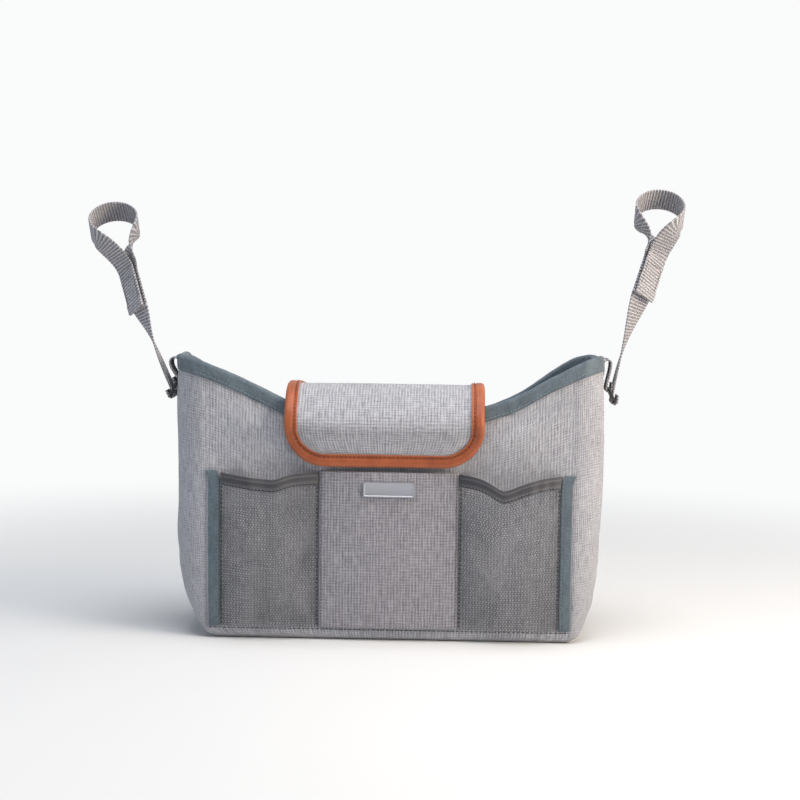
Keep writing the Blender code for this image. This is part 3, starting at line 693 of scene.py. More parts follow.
# Stitches. One thread lozenge is modelled and copied along each seam, sunk a little into the cloth.
def thread_form():
    """Points and faces of one stitch, a unit long, lying along X."""
    bpy.ops.object.select_all(action="DESELECT")
    bpy.ops.mesh.primitive_uv_sphere_add(segments=6, ring_count=6, radius=0.5)
    ball = bpy.context.object
    points = [vert.co.copy() for vert in ball.data.vertices]
    faces = [tuple(face.vertices) for face in ball.data.polygons]
    bpy.data.objects.remove(ball)
    return [Vector((p.z, p.x, p.y)) for p in points], faces


THREAD_POINTS, THREAD_FACES = thread_form()


def thread(name, colour):
    """Twisted sewing thread."""
    made, shader = material(name, 0.6)
    place = on_object(made)
    fuzz = mottle(made, place, 1800.0, 2.0)
    feed(made, shader, "Base Color", blend_colour(made, fuzz, shade(colour, 0.7), shade(colour)))
    emboss(made, shader, fuzz, 0.4, 0.0001)
    return made


def stitch_row(name, line, look, slot_name, length=0.0024, space=0.0009, across=0.00050):
    """Stitches along a line of (point, outward direction)."""
    bm = bmesh.new()
    walked = 0.0
    nearest = space
    for (start, start_out), (stop, stop_out) in zip(line, line[1:]):
        run = (stop - start).length
        while nearest + length / 2 <= walked + run:
            share = max(0.0, (nearest + length / 2 - walked) / run)
            heading = (stop - start).normalized()
            out = start_out.lerp(stop_out, share)
            out = (out - heading * out.dot(heading)).normalized()
            side = out.cross(heading)
            middle = start.lerp(stop, share) + out * across * 0.15
            verts = []
            for p in THREAD_POINTS:
                arch = out * across * 0.35 * (1 - (2 * p.x) ** 2)
                verts.append(bm.verts.new(middle + heading * p.x * length + (side * p.y + out * p.z) * across + arch))
            for face in THREAD_FACES:
                bm.faces.new([verts[k] for k in face]).smooth = True
            nearest += length + space
        walked += run
    bmesh.ops.recalc_face_normals(bm, faces=bm.faces)
    return dress(as_object(name, bm), look, slot_name)


def on_line(place, count):
    """A line of points and outward directions; place(share, lift) gives its points."""
    made = []
    for k in range(count + 1):
        point = place(k / count, 0.0)
        made.append((point, place(k / count, 0.001) - point))
    return made


slate_thread = thread("slate_thread", (0.26, 0.33, 0.35))


def rim_line(face, side):
    """The seam through the rim binding on one face, outside or inside."""
    def place(share, lift):
        depth = -RIM_OUT - 0.0001 - lift if side == "outer" else RIM_IN + 0.0001 + lift
        return bag_point(face + 0.005 + 0.99 * share, lambda rim: rim - STITCH_DROP, depth)
    return on_line(place, 120)


for face, face_name in enumerate(("front", "right", "back", "left")):
    for side in ("outer", "inner"):
        stitch_row(f"{face_name}_rim_{side}_stitches", rim_line(face, side), slate_thread, "slate_binding")


# Flap. Padded heather cloth sewn to the back, arching over the mouth and bending softly down
# the front. It is sewn flat, filled and left to settle between its sewn edges.
FLAP_THICKNESS = 0.003
FLAP_CORNER = 0.032
FLAP_SEWN = FLAP_SEWN_LOW
FLAP_SHIFT = -0.0040
FLAP_TOP = 0.2015
FLAP_CREASE = 0.177
FLAP_CREASE_OUT = 0.0145
FLAP_END = 0.140
FLAP_STANDOFF = 0.0043
FLAP_CLOSED = 0.0068
SNAP_HEIGHT = 0.1548
FLAP_COLUMNS = 56
FLAP_ROWS = 96


def smooth_curve(knots, per_span):
    """Points on a smooth curve through the knots."""
    ends = [2 * knots[0] - knots[1], *knots, 2 * knots[-1] - knots[-2]]
    made = []
    for i in range(1, len(ends) - 2):
        before, start, stop, after = ends[i - 1:i + 3]
        for k in range(per_span):
            t = k / per_span
            made.append(0.5 * (2 * start + (stop - before) * t
                               + (2 * before - 5 * start + 4 * stop - after) * t ** 2
                               + (3 * start - before - 3 * stop + after) * t ** 3))
    made.append(knots[-1])
    return made


flap_back = MOUTH_DEPTH_HALF + FLAP_STANDOFF
flap_crease = -MOUTH_DEPTH_HALF - FLAP_CREASE_OUT
flap_front = -MOUTH_DEPTH_HALF - FLAP_CLOSED
FLAP_LINE = smooth_curve([Vector((0.0, y, z)) for y, z in (
    (flap_back, FLAP_SEWN), (flap_back, FLAP_TOP - 0.018), (flap_back - 0.011, FLAP_TOP - 0.0085),
    (0.0, FLAP_TOP - 0.0024), (-0.030, FLAP_TOP + 0.0004), (0.004 - MOUTH_DEPTH_HALF, FLAP_TOP - 0.0036),
    (flap_crease + 0.0045, FLAP_CREASE + 0.0085), (flap_crease, FLAP_CREASE),
    (flap_crease + 0.0012, FLAP_CREASE - 0.006),
    (flap_front - 0.003, (FLAP_CREASE + SNAP_HEIGHT) / 2), (flap_front, SNAP_HEIGHT), (flap_front, FLAP_END),
)], 16)
FLAP_RUN = [0.0]
for near, far in zip(FLAP_LINE, FLAP_LINE[1:]):
    FLAP_RUN.append(FLAP_RUN[-1] + (far - near).length)
FLAP_LENGTH = FLAP_RUN[-1]


def flap_point(x, run, depth):
    """Point on the flap at a width, a distance from its sewn end and a depth under its middle."""
    run = min(max(run, 0.0), FLAP_LENGTH)
    i = next(k for k in range(1, len(FLAP_RUN)) if FLAP_RUN[k] >= run)
    near, far = FLAP_LINE[i - 1], FLAP_LINE[i]
    share = (run - FLAP_RUN[i - 1]) / (FLAP_RUN[i] - FLAP_RUN[i - 1])
    before = FLAP_LINE[max(0, i - 2)]
    after = FLAP_LINE[min(len(FLAP_LINE) - 1, i + 1)]
    heading = (far - before).lerp(after - near, share).normalized()
    inward = Vector((0.0, heading.z, -heading.y))
    return near.lerp(far, share) + inward * depth + Vector((x + FLAP_SHIFT, 0.0, 0.0))


def flap_half(run, inset):
    """Half the flap's width, rounded off at its front corners."""
    past = run - (FLAP_LENGTH - FLAP_CORNER)
    if past <= 0:
        return FLAP_HALF - inset
    radius = FLAP_CORNER - inset
    return FLAP_HALF - FLAP_CORNER + (radius ** 2 - min(past, radius) ** 2) ** 0.5


FLAP_INSET = 0.0016
TRIM_WIDTH = 0.010


def flap_run(j):
    """Distance along the flap of a row, closer together round the front corners."""
    straight = FLAP_LENGTH - FLAP_CORNER
    share = j / FLAP_ROWS
    if share <= 0.8:
        return straight * share / 0.8
    return straight + (FLAP_CORNER - FLAP_INSET) * sin((share - 0.8) / 0.2 * pi / 2)


def flap_place(i, j):
    """From right to left, so that the upper side faces out."""
    run = flap_run(j)
    side = 1 - 2 * i / FLAP_COLUMNS
    x = side * flap_half(run, FLAP_INSET)
    free = min(1.0, (FLAP_HALF - abs(x)) / 0.02)
    sag = 0.0010 * sin(pi * run / FLAP_LENGTH) * free
    wander = 0.0006 * free * ripple(Vector((x, run, 3.0)), 0.045)
    return flap_point(x, run, sag + wander)


flap = cloth_grid("flap_pad", FLAP_COLUMNS, FLAP_ROWS, flap_place, (2 * FLAP_HALF, FLAP_LENGTH))
give_wall(flap, FLAP_THICKNESS * 0.8, 0.0)


def flap_held(point):
    """1 under the trim and where the flap is sewn to the back."""
    flat = Vector((0.0, point.y, point.z))
    nearest = min(range(len(FLAP_LINE)), key=lambda k: (FLAP_LINE[k] - flat).length)
    run = FLAP_RUN[nearest]
    edge = flap_half(run, 0.0) - abs(point.x - FLAP_SHIFT)
    return float(min(edge, FLAP_LENGTH - run) < TRIM_WIDTH or run < 0.030)


settle(flap, [flap_held(vert.co) for vert in flap.data.vertices], 0.014, 1.6, 18, 0.0020, 0.0010)
dress(flap, cloth, "heather_cloth", "flap")


# Flap trim. A strip of tan leather folded round the flap's free edge and topstitched close to
# its inner edge, with creases where it goes round the corners.
TRIM_WALL = 0.0009
TRIM_EDGE = FLAP_THICKNESS / 2 + 0.0014
TRIM_STITCH = TRIM_WIDTH - 0.0021
TRIM_SIDE_ROWS = 12
TRIM_FOLD_ROWS = 6


def flap_edge(straight_steps, corner_steps, front_steps):
    """Flap outline as (x, run, inward x, inward run), from the left sewn end to the right one."""
    straight = FLAP_LENGTH - FLAP_CORNER
    middle = FLAP_HALF - FLAP_CORNER
    half = [(FLAP_HALF, straight * k / straight_steps, -1.0, 0.0) for k in range(straight_steps)]
    for k in range(corner_steps):
        angle = pi / 2 * k / corner_steps
        x = middle + FLAP_CORNER * cos(angle)
        half.append((x, straight + FLAP_CORNER * sin(angle), -cos(angle), -sin(angle)))
    front = [(middle * (1 - 2 * k / front_steps), FLAP_LENGTH, 0.0, -1.0) for k in range(front_steps + 1)]
    other = [(-x, run, -nx, nr) for x, run, nx, nr in reversed(half)]
    return [(-x, run, -nx, nr) for x, run, nx, nr in half + front + other]


TRIM_LINE = flap_edge(120, 36, 60)


def trim_section(j):
    """Width in from the edge and depth of the strip's outer face, from top to underside."""
    if j < TRIM_SIDE_ROWS:
        return TRIM_WIDTH + (TRIM_EDGE - TRIM_WIDTH) * j / TRIM_SIDE_ROWS, -TRIM_EDGE
    if j <= TRIM_SIDE_ROWS + TRIM_FOLD_ROWS:
        angle = pi * (j - TRIM_SIDE_ROWS) / TRIM_FOLD_ROWS
        return TRIM_EDGE * (1 - sin(angle)), -TRIM_EDGE * cos(angle)
    back = j - TRIM_SIDE_ROWS - TRIM_FOLD_ROWS
    return TRIM_EDGE + (TRIM_WIDTH - TRIM_EDGE) * back / TRIM_SIDE_ROWS, TRIM_EDGE


def trim_place(i, j):
    """Across the strip at a place along the flap's edge, hugging the cloth at its stitches."""
    x, run, nx, nr = TRIM_LINE[i]
    wide, depth = trim_section(j)
    flat = flap_point(x + nx * wide, run + nr * wide, depth)
    press = 0.0008 * max(0.0, 1 - abs(wide - TRIM_STITCH) / 0.0018) * (1 if depth < 0 else -1)
    soft = 0.00022 * ripple(flat, 0.011) + 0.00014 * ripple(flat, 0.004)
    return flap_point(x + nx * wide, run + nr * wide, depth + press + soft)


def leather(name, pale, deep, worn):
    """Smooth dyed leather: fine pebbled grain, darker in the creases and paler where it is rubbed."""
    made, shader = material(name, 0.5, specular=0.4)
    place = on_object(made)
    grain = node(made, "TexVoronoi", {"Vector": place, "Scale": 1400.0}).outputs["Distance"]
    pores = mottle(made, place, 900.0, 4.0)
    tint = mottle(made, place, 55.0, 5.0)
    tint = spread(made, tint, 0.35, 0.65)
    base_colour = blend_colour(made, tint, deep, pale)
    edge = node(made, "NewGeometry").outputs["Pointiness"]
    rub = spread(made, edge, 0.50, 0.60, 0.0, 0.6)
    feed(made, shader, "Base Color", blend_colour(made, rub, base_colour, worn))
    feed(made, shader, "Roughness", spread(made, pores, 0.0, 1.0, 0.38, 0.62))
    height = combine(made, "ADD", grain, pores)
    emboss(made, shader, height, 0.35, 0.0003)
    return made


TRIM_ROWS = 2 * TRIM_SIDE_ROWS + TRIM_FOLD_ROWS
trim = cloth_grid("flap_trim_strip", len(TRIM_LINE) - 1, TRIM_ROWS, trim_place, (0.53, 0.024))
give_wall(trim, TRIM_WALL)
tan = leather("tan_leather", (0.38, 0.094, 0.031, 1.0), (0.25, 0.056, 0.018, 1.0), (0.54, 0.18, 0.085, 1.0))
dress(trim, tan, "tan_leather", "flap_trim")
# Real tan topstitching, made darker than the leather: the darkness also paints the shadow in the stitch groove.
tan_thread_groove_shade = thread("tan_thread_groove_shade", (0.13, 0.032, 0.012))
for side, depth in (("upper", -TRIM_EDGE), ("under", TRIM_EDGE)):
    line = []
    for x, run, nx, nr in TRIM_LINE:
        seam = (x + nx * TRIM_STITCH, run + nr * TRIM_STITCH)
        on_face = flap_point(*seam, depth * 0.88)
        line.append((on_face, flap_point(*seam, depth * 1.2) - on_face))
    stitch_row(f"flap_trim_{side}_stitches", line, tan_thread_groove_shade, "tan_leather", 0.0022, 0.0012, 0.0007)


# Centre pocket. One ply of heather cloth with its edges turned under, a hem along the top, and a
# row of stitches down each side.
POCKET_CLOTH = 0.0012
POCKET_BULGE = 0.0062
POCKET_FLAT = 0.6
POCKET_FOOT = 0.15
CLOTH_GAP = 0.0003
HEM = 0.009
POCKET_COLUMNS = 64
POCKET_ROWS = 78
HEM_ROWS = 8
POCKET_STITCH_IN = 0.0021
SEAM_END = 0.001


def steps(low, high, count):
    """Evenly spaced values from low to high."""
    return [low + (high - low) * k / count for k in range(count + 1)]


def front_point(x, z, stand):
    """Point in front of the front wall."""
    return Vector((x, -half_depth(z) - stand, z))


def pocket_swell(u, v):
    return sin(pi * u) ** POCKET_FLAT * min(1.0, POCKET_FOOT + v) ** 0.5


def pocket_place(i, j):
    """Up the outside, over the top edge, and down inside as far as the hem."""
    u = i / POCKET_COLUMNS
    x = (2 * u - 1) * POCKET_HALF
    up = min(j, POCKET_ROWS - HEM_ROWS) / (POCKET_ROWS - HEM_ROWS)
    z = POCKET_LOW + up * (POCKET_HIGH - POCKET_LOW)
    past = j - (POCKET_ROWS - HEM_ROWS)
    back = 0.0
    if past > 0:
        angle = pi * min(past, 4) / 4
        back = POCKET_CLOTH * (1 - cos(angle))
        z += POCKET_CLOTH * sin(angle) - max(0, past - 4) * 0.0006
    soft = 0.0006 * ripple(Vector((x, z, 7.0)), 0.040) * sin(pi * u)
    at_hem = 0.00045 if POCKET_HIGH - HEM < z else 0.0
    edge = min(u, 1 - u) * 2 * POCKET_HALF
    pinch = 0.0003 * max(0.0, 1 - abs(edge - POCKET_STITCH_IN) / 0.0012)
    stand = CLOTH_GAP + POCKET_BULGE * pocket_swell(u, up) + POCKET_CLOTH + soft + at_hem * sin(pi * u) ** 0.3
    return front_point(x, z, stand - pinch - back)


pocket = cloth_grid("centre_pocket_cloth", POCKET_COLUMNS, POCKET_ROWS, pocket_place, (2 * POCKET_HALF, 0.130))
give_wall(pocket, POCKET_CLOTH * 0.8)
# The wall cloth again, painted darker (0.72) and a little pinker: painted shade, since the pocket is the same cloth
# lying in shade.
pocket_cloth_painted_shade = heather("pocket_cloth_painted_shade", (1.02, 0.985, 1.0), 0.72)
dress(pocket, pocket_cloth_painted_shade, "heather_cloth", "centre_pocket")
grey_thread = thread("grey_thread", (0.09, 0.088, 0.10))
for name, side in (("left", -1), ("right", 1)):
    line = []
    for z in steps(POCKET_LOW + SEAM_END, POCKET_HIGH - SEAM_END, 120):
        reach = 1 - POCKET_STITCH_IN / (2 * POCKET_HALF)
        up = (z - POCKET_LOW) / (POCKET_HIGH - POCKET_LOW)
        stand = CLOTH_GAP + POCKET_BULGE * pocket_swell(reach, up) + POCKET_CLOTH - 0.0002
        line.append((front_point(side * (POCKET_HALF - POCKET_STITCH_IN), z, stand), Vector((side * 0.5, -1.0, 0.0))))
    stitch_row(f"centre_pocket_{name}_stitches", line, grey_thread, "heather_cloth", 0.0016, 0.0012, 0.0007)


# Net pockets. Knitted net laid over the front in a full soft curve, gathered into the seam at the
# bottom and held by a folded tape along the top.
NET_BULGE = {"left": 0.0125, "right": 0.0165}
NET_SAG = {"left": 0.0053, "right": 0.0104}
SAG_PLACE = {"left": 0.46, "right": 0.43}
SAG_REACH = {"left": (0.15, 0.45), "right": (0.17, 0.25)}
SIDE_TAPE_WIDTH = 0.0092
SIDE_TAPE_IN = {"left": 0.0020, "right": 0.0002}
NET_IN = POCKET_HALF + CLOTH_GAP
NET_WALL = 0.0006
NET_PITCH = 0.0023
NET_RISE = 0.0020
NET_STRAND = 0.00056
CORD_PITCH = 0.0038
TAPE_HEIGHT = 0.0098
SIDES = {"left": -1, "right": 1}
FORWARD = Vector((0.0, -1.0, 0.0))


def net_width(side_name):
    return SEAM_HALF - SIDE_TAPE_IN[side_name] - SIDE_TAPE_WIDTH - CLOTH_GAP - NET_IN


def net_top(side_name, u):
    """Height of a net pocket's mouth, sagging between its ends."""
    away = u - SAG_PLACE[side_name]
    reach = SAG_REACH[side_name][0 if away < 0 else 1]
    return POCKET_HIGH - NET_SAG[side_name] * exp(-abs(away / reach) ** 1.6)


def net_swell(side_name, u, z):
    """Distance of the net off the front: its fullness, soft upright folds and gathers."""
    up = (z - POCKET_LOW) / (POCKET_HIGH - POCKET_LOW)
    u = min(1.0, max(0.0, u))
    rise = min(1.0, 0.1 + 1.6 * up) ** 0.6
    full = NET_BULGE[side_name] * sin(pi * u) ** 0.7 * rise
    broad = 0.0018 * sin(6 * pi * u + 0.6) * (1 - 0.7 * up) * sin(pi * u)
    gather = 0.0009 * sin(22 * pi * u + 4 * up) * max(0.0, 1 - up / 0.22) ** 1.4 * sin(pi * u) ** 0.5
    drape = 0.0010 * ripple(Vector((u * 0.09, up * 0.05, 11.0 * NET_BULGE[side_name])), 0.014) * sin(pi * u) ** 0.6
    if side_name == "right":
        lean = u - 0.06 * up
        fan = max(0.0, 1 - abs(lean - 0.78) / 0.24)
        drape += 0.0017 * sin(2 * pi * (lean - 0.62) / 0.12) * fan * sin(pi * up) ** 0.5
        drape += 0.0070 * max(0.0, 1 - abs(lean - 0.60) / 0.24) ** 1.4 * sin(pi * min(1.0, up + 0.12)) ** 0.6
    else:
        slant = u + 0.6 * up
        drape += 0.0016 * sin(2 * pi * slant / 0.23) * max(0.0, 1 - abs(slant - 0.42) / 0.32) * (1 - up)
        crease = (up - 0.40) - 0.47 * (u - 0.47)
        drape += 0.0034 * max(0.0, 1 - abs(crease) / 0.10) ** 1.4 * rising(u, 0.30, 0.55) * rising(1 - u, 0.02, 0.15)
        drape += 0.0040 * max(0.0, 1 - ((u - 0.80) / 0.20) ** 2 - ((up - 0.13) / 0.12) ** 2)
        inner = 1 - rising(u, 0.02 + 0.20 * up, 0.16 + 0.20 * up)
        drape -= 0.0040 * inner * sin(pi * up) ** 0.6 * sin(pi * min(0.5, 4 * u))
    return max(0.0, full + broad + gather + drape)


def net_point(side_name, u, z, stand):
    x = SIDES[side_name] * (NET_IN + u * net_width(side_name))
    return front_point(x, z, CLOTH_GAP + stand + net_swell(side_name, u, z))


def net_wall(side_name):
    """A lattice of six-sided cells laid on the pocket's curve, then opened into strands."""
    bm = bmesh.new()
    columns = round(net_width(side_name) / NET_PITCH)
    rows = round((POCKET_HIGH - TAPE_HEIGHT / 2 - POCKET_LOW) / NET_RISE)
    knots = {}

    def knot(i, j):
        """Lattice point: i counts half cells across, j counts thirds of rows up."""
        if (i, j) not in knots:
            u = i / (2 * columns)
            top = net_top(side_name, u) - TAPE_HEIGHT * 0.6
            z = POCKET_LOW + 0.0004 + (top - POCKET_LOW) * min(1.0, j / (3 * rows))
            knots[i, j] = bm.verts.new(net_point(side_name, u, z, NET_WALL))
        return knots[i, j]
    for row in range(rows):
        for cell in range(columns):
            i = 2 * cell + row % 2
            if i + 2 > 2 * columns:
                continue
            ring = [(i, 3 * row + 1), (i + 1, 3 * row), (i + 2, 3 * row + 1),
                    (i + 2, 3 * row + 3), (i + 1, 3 * row + 4), (i, 3 * row + 3)]
            bm.faces.new([knot(*at) for at in ring])
    if SIDES[side_name] < 0:
        bmesh.ops.reverse_faces(bm, faces=bm.faces)
    made = as_object(side_name + "_net", bm)
    strands = made.modifiers.new("strands", "WIREFRAME")
    strands.thickness = NET_STRAND
    strands.use_boundary = True
    strands.use_even_offset = False
    apply_all(made)
    made.data.shade_smooth()
    return made


def netting(name):
    """Dark knitted polyester yarn, slightly shiny along the strands."""
    made, shader = material(name, 0.55, sheen=0.3)
    place = on_object(made)
    yarn = mottle(made, place, 1000.0, 4.0)
    broad = mottle(made, place, 40.0, 2.0)
    both = combine(made, "ADD", yarn, broad)
    tone = spread(made, both, 0.7, 1.3)
    feed(made, shader, "Base Color", blend_colour(made, tone, (0.034, 0.036, 0.040, 1.0), (0.21, 0.21, 0.222, 1.0)))
    emboss(made, shader, yarn, 0.5, 0.0002)
    return made


def net_tape(side_name, columns=84):
    """Tape folded over the net's top edge: up the outside, over, and down inside."""
    half, flat, fold = 0.0010, 6, 4

    def place(i, j):
        u = i / columns
        top = net_top(side_name, u) - half
        low = top + half - TAPE_HEIGHT
        if j <= flat:
            z, stand = low + (top - low) * j / flat, 2 * half
        elif j <= flat + fold:
            angle = pi * (j - flat) / fold
            z, stand = top + half * sin(angle), half * (1 + cos(angle))
        else:
            z, stand = top + (low - top) * (j - flat - fold) / flat, 0.0
        point = net_point(side_name, u, z, stand)
        point.y -= 0.0002 * crinkle(point, 9.0)
        return point
    made = cloth_grid(side_name + "_net_tape", columns, 2 * flat + fold, place, (0.080, 0.019))
    if SIDES[side_name] < 0:
        reshape(made, lambda bm: bmesh.ops.reverse_faces(bm, faces=bm.faces))
    give_wall(made, 0.0006)
    return made


def ribbed_tape(name, deep, pale):
    """Knitted edging with cords along it: dark between, paler on each cord."""
    made, shader = material(name, 0.8, sheen=0.2)
    place = on_weave(made)
    cords = bands(made, place, "Y", WAVE / CORD_PITCH, 0.6)
    twist = streaks(made, place, 0.0009, 0.0006, True, 3.0)
    sharp = spread(made, cords, 0.62, 1.0)
    mixed = combine(made, "MULTIPLY", sharp, twist)
    feed(made, shader, "Base Color", blend_colour(made, mixed, deep, pale))
    height = combine(made, "ADD", cords, twist)
    emboss(made, shader, height, 0.6, 0.0004)
    return made


net_yarn = netting("netting")
charcoal = ribbed_tape("charcoal_tape", (0.050, 0.049, 0.057, 1.0), (0.14, 0.138, 0.145, 1.0))
charcoal_thread = thread("charcoal_thread", (0.24, 0.24, 0.26))
# Near-black thread for the net edges and the bottom seam: real stitches, made this dark as painted shadow of the gaps
# along those seams.
gap_shadow_thread = thread("gap_shadow_thread", (0.045, 0.045, 0.052))
for side_name in SIDES:
    net = dress(net_wall(side_name), net_yarn, "netting", side_name + "_net_wall")
    tape = dress(net_tape(side_name), charcoal, "charcoal_binding", side_name + "_pocket_top_binding")
    line = [(net_point(side_name, u, net_top(side_name, u) - TAPE_HEIGHT + 0.0014, 0.0020), FORWARD)
            for u in steps(0.01, 0.99, 80)]
    stitch_row(side_name + "_net_tape_stitches", line, charcoal_thread, "charcoal_binding", 0.0018, 0.0010)
    # Rows down both edges of each net: real stitches whose near-black colour also paints the shadow in the gap beside
    # the centre pocket and the side binding.
    for edge, u in (("inner", 0.012), ("outer", 0.985)):
        line = [(net_point(side_name, u, z, 0.0012), FORWARD)
                for z in steps(POCKET_LOW + SEAM_END, POCKET_HIGH - TAPE_HEIGHT, 80)]
        stitch_row(f"{side_name}_net_{edge}_stitches", line, gap_shadow_thread, "charcoal_binding", 0.0020, 0.0013, 0.0011)


# Pocket side bindings. Slate tape folded flat down each net's outer edge and topstitched close
# to the net, a little puckered by the thread and turned out at its top end.
SIDE_TAPE_HALF = 0.0009
SIDE_TAPE_AROUND = 34
SIDE_TAPE_ROWS = 150
SIDE_TAPE_FLARE = 0.0028
SIDE_STITCH_IN = 0.0018


def folded_flat(k, count, wide, half):
    """Place k of count round a strip folded flat: along its width and out from its middle."""
    straight = wide - 2 * half
    walk = k % count / count * 2 * (straight + pi * half)
    if walk < straight:
        return walk - straight / 2, half
    walk -= straight
    if walk < pi * half:
        return straight / 2 + half * sin(walk / half), half * cos(walk / half)
    walk -= pi * half
    if walk < straight:
        return straight / 2 - walk, -half
    angle = (walk - straight) / half
    return -straight / 2 - half * sin(angle), -half * cos(angle)


def face_out(bm):
    """Turn a closed tube's faces outwards and cap its ends."""
    bmesh.ops.holes_fill(bm, edges=[edge for edge in bm.edges if edge.is_boundary], sides=0)
    bmesh.ops.recalc_face_normals(bm, faces=bm.faces)


def side_tape(side_name):
    """The folded tape, from the bottom seam up to the pocket's mouth."""
    turn = SIDES[side_name]

    def place(i, j):
        up = j / SIDE_TAPE_ROWS
        along, out = folded_flat(i, SIDE_TAPE_AROUND, SIDE_TAPE_WIDTH, SIDE_TAPE_HALF)
        z = POCKET_LOW + up * (POCKET_HIGH - POCKET_LOW)
        flare_out = SIDE_TAPE_FLARE * max(0.0, (up - 0.93) / 0.07) ** 1.5
        wide = SEAM_HALF - SIDE_TAPE_IN[side_name] - SIDE_TAPE_WIDTH / 2 - along * turn + flare_out
        wide += 0.0003 * ripple(Vector((z, 5.0 * turn, 1.0)), 0.019)
        point = Vector((turn * wide, 0.0, z))
        pucker = 0.00032 * crinkle(Vector((point.z, point.x, 0.0)), 3.0) if out > 0 else 0.0
        seam = SIDE_TAPE_WIDTH / 2 - SIDE_STITCH_IN
        pull = 0.0003 * max(0.0, 1 - abs(along * turn - seam) / 0.0014) if out > 0 else 0.0
        return front_point(point.x, z, CLOTH_GAP + SIDE_TAPE_HALF + out + pucker - pull)
    made = cloth_grid(side_name + "_side_tape", SIDE_TAPE_AROUND, SIDE_TAPE_ROWS, place, (0.024, 0.126), closed=True)
    reshape(made, face_out)
    return made


for side_name, turn in SIDES.items():
    tape = dress(side_tape(side_name), slate, "slate_binding", side_name + "_pocket_side_binding")
    x = turn * (SEAM_HALF - SIDE_TAPE_IN[side_name] - SIDE_TAPE_WIDTH + SIDE_STITCH_IN)
    line = [(front_point(x, z, CLOTH_GAP + 2 * SIDE_TAPE_HALF - 0.0001), FORWARD)
            for z in steps(POCKET_LOW + SEAM_END, POCKET_HIGH - SEAM_END, 120)]
    stitch_row(side_name + "_side_tape_stitches", line, slate_thread, "slate_binding", 0.0017, 0.0012)


# Bottom seam. One row of dark thread along the pockets' lower edges, through to the board; its near-black colour also
# paints the shadow of the gap along the seam.
SEAM_STITCH_HEIGHT = 0.0088
line = [(front_point(x, SEAM_STITCH_HEIGHT, 0.0), FORWARD)
        for x in steps(SEAM_END - SEAM_HALF, SEAM_HALF - SEAM_END, 160)]
stitch_row("bottom_seam_stitches", line, gap_shadow_thread, "charcoal_binding", 0.0026, 0.0011, 0.0007)


# Badge. A small satin plate pressed from sheet metal, with rounded corners and a raised rim,
# riveted through the pocket from behind and left bare.
BADGE_CORNER = 0.0018
BADGE_RIM = 0.0009
BADGE_SLOPE = 0.0004
BADGE_DISH = 0.00045
BADGE_EDGE = 0.00016


def pick(piece, kind, choose):
    """In edit mode, select only the faces or edges that choose() accepts."""
    bpy.ops.mesh.select_mode(type=kind)
    bpy.ops.mesh.select_all(action="DESELECT")
    bm = bmesh.from_edit_mesh(piece.data)
    for part in bm.faces if kind == "FACE" else bm.edges:
        part.select_set(bool(choose(part)))
    bm.select_flush_mode()
    bmesh.update_edit_mesh(piece.data)


def soften(piece, width, segments=2):
    """Round a hard piece's edges and shade it smooth between them."""
    edge = piece.modifiers.new("edge", "BEVEL")
    edge.width = width
    edge.segments = segments
    edge.limit_method = "ANGLE"
    edge.angle_limit = radians(30)
    apply_all(piece)
    bpy.ops.object.shade_smooth_by_angle(angle=radians(40))


def satin(name, colour, brushed):
    """Satin metal with fine brushed lines along it and a few softer patches."""
    made, shader = material(name, 0.36, 0.9)
    place = on_object(made)
    drawn = node(made, "Mapping", {"Vector": place, "Scale": (90.0, 90.0, 90.0 * brushed)}).outputs["Vector"]
    lines = mottle(made, drawn, 1.0, 5.0)
    handled = mottle(made, place, 130.0, 4.0)
    feed(made, shader, "Roughness", spread(made, handled, 0.0, 1.0, 0.28, 0.48))
    feed(made, shader, "Base Color", blend_colour(made, lines, shade(colour, 0.86), shade(colour)))
    emboss(made, shader, lines, 0.12, 0.0001)
    return made


badge_low, badge_high = (Vector(corner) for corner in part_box("badge"))
bpy.ops.object.select_all(action="DESELECT")
bpy.ops.mesh.primitive_cube_add(size=1.0, location=(badge_low + badge_high) / 2)
badge = bpy.context.object
badge.name = "badge_plate"
badge.scale = badge_high - badge_low
bpy.ops.object.transform_apply(location=True, rotation=True, scale=True)
bpy.ops.object.mode_set(mode="EDIT")
pick(badge, "EDGE", lambda edge: abs(edge.verts[0].co.y - edge.verts[1].co.y) > BADGE_RIM / 2)
bpy.ops.mesh.bevel(offset=BADGE_CORNER, segments=8)
pick(badge, "FACE", lambda face: face.normal.y < -0.9)
bpy.ops.mesh.inset(thickness=BADGE_RIM)
bpy.ops.mesh.inset(thickness=BADGE_SLOPE)
bpy.ops.transform.translate(value=(0.0, BADGE_DISH, 0.0))
bpy.ops.object.mode_set(mode="OBJECT")
soften(badge, BADGE_EDGE)
dress(badge, satin("satin_metal", (0.46, 0.47, 0.51), 14.0), "satin_metal", "badge")


# Side tabs. Webbing sewn up each side under the rim, folded over outside it and back round the
# slider's top bar.
WEB_HALF = 0.0007
WEB_AROUND = 44
WEB_STEP = 0.0005
HEM_LENGTH = 0.009
RIB_PITCH = 0.0025
RIB_RISE = 0.00016
RIB_SLANT = 0.10
TAB_TOP = {"left": 0.2206, "right": 0.2236}
TAB_BEND = {"left": 0.0040, "right": 0.0030}
TAB_STEP = 0.003
TAB_LEAVE = {"left": radians(74), "right": radians(84)}
FOLD_BACK = 0.005
SLIDER_TOP_OUT = 0.1742
SLIDER_TOP_HEIGHT = 0.200
SLIDER_TILT = radians(25)
SLIDER_PITCH = 0.0055
BAR = 0.002
BAR_WRAP = BAR / 2 * 1.15 + CLOTH_GAP + WEB_HALF
SLIDER_DOWN = Vector((sin(SLIDER_TILT), 0.0, -cos(SLIDER_TILT)))
SLIDER_OUT = Vector((cos(SLIDER_TILT), 0.0, sin(SLIDER_TILT)))
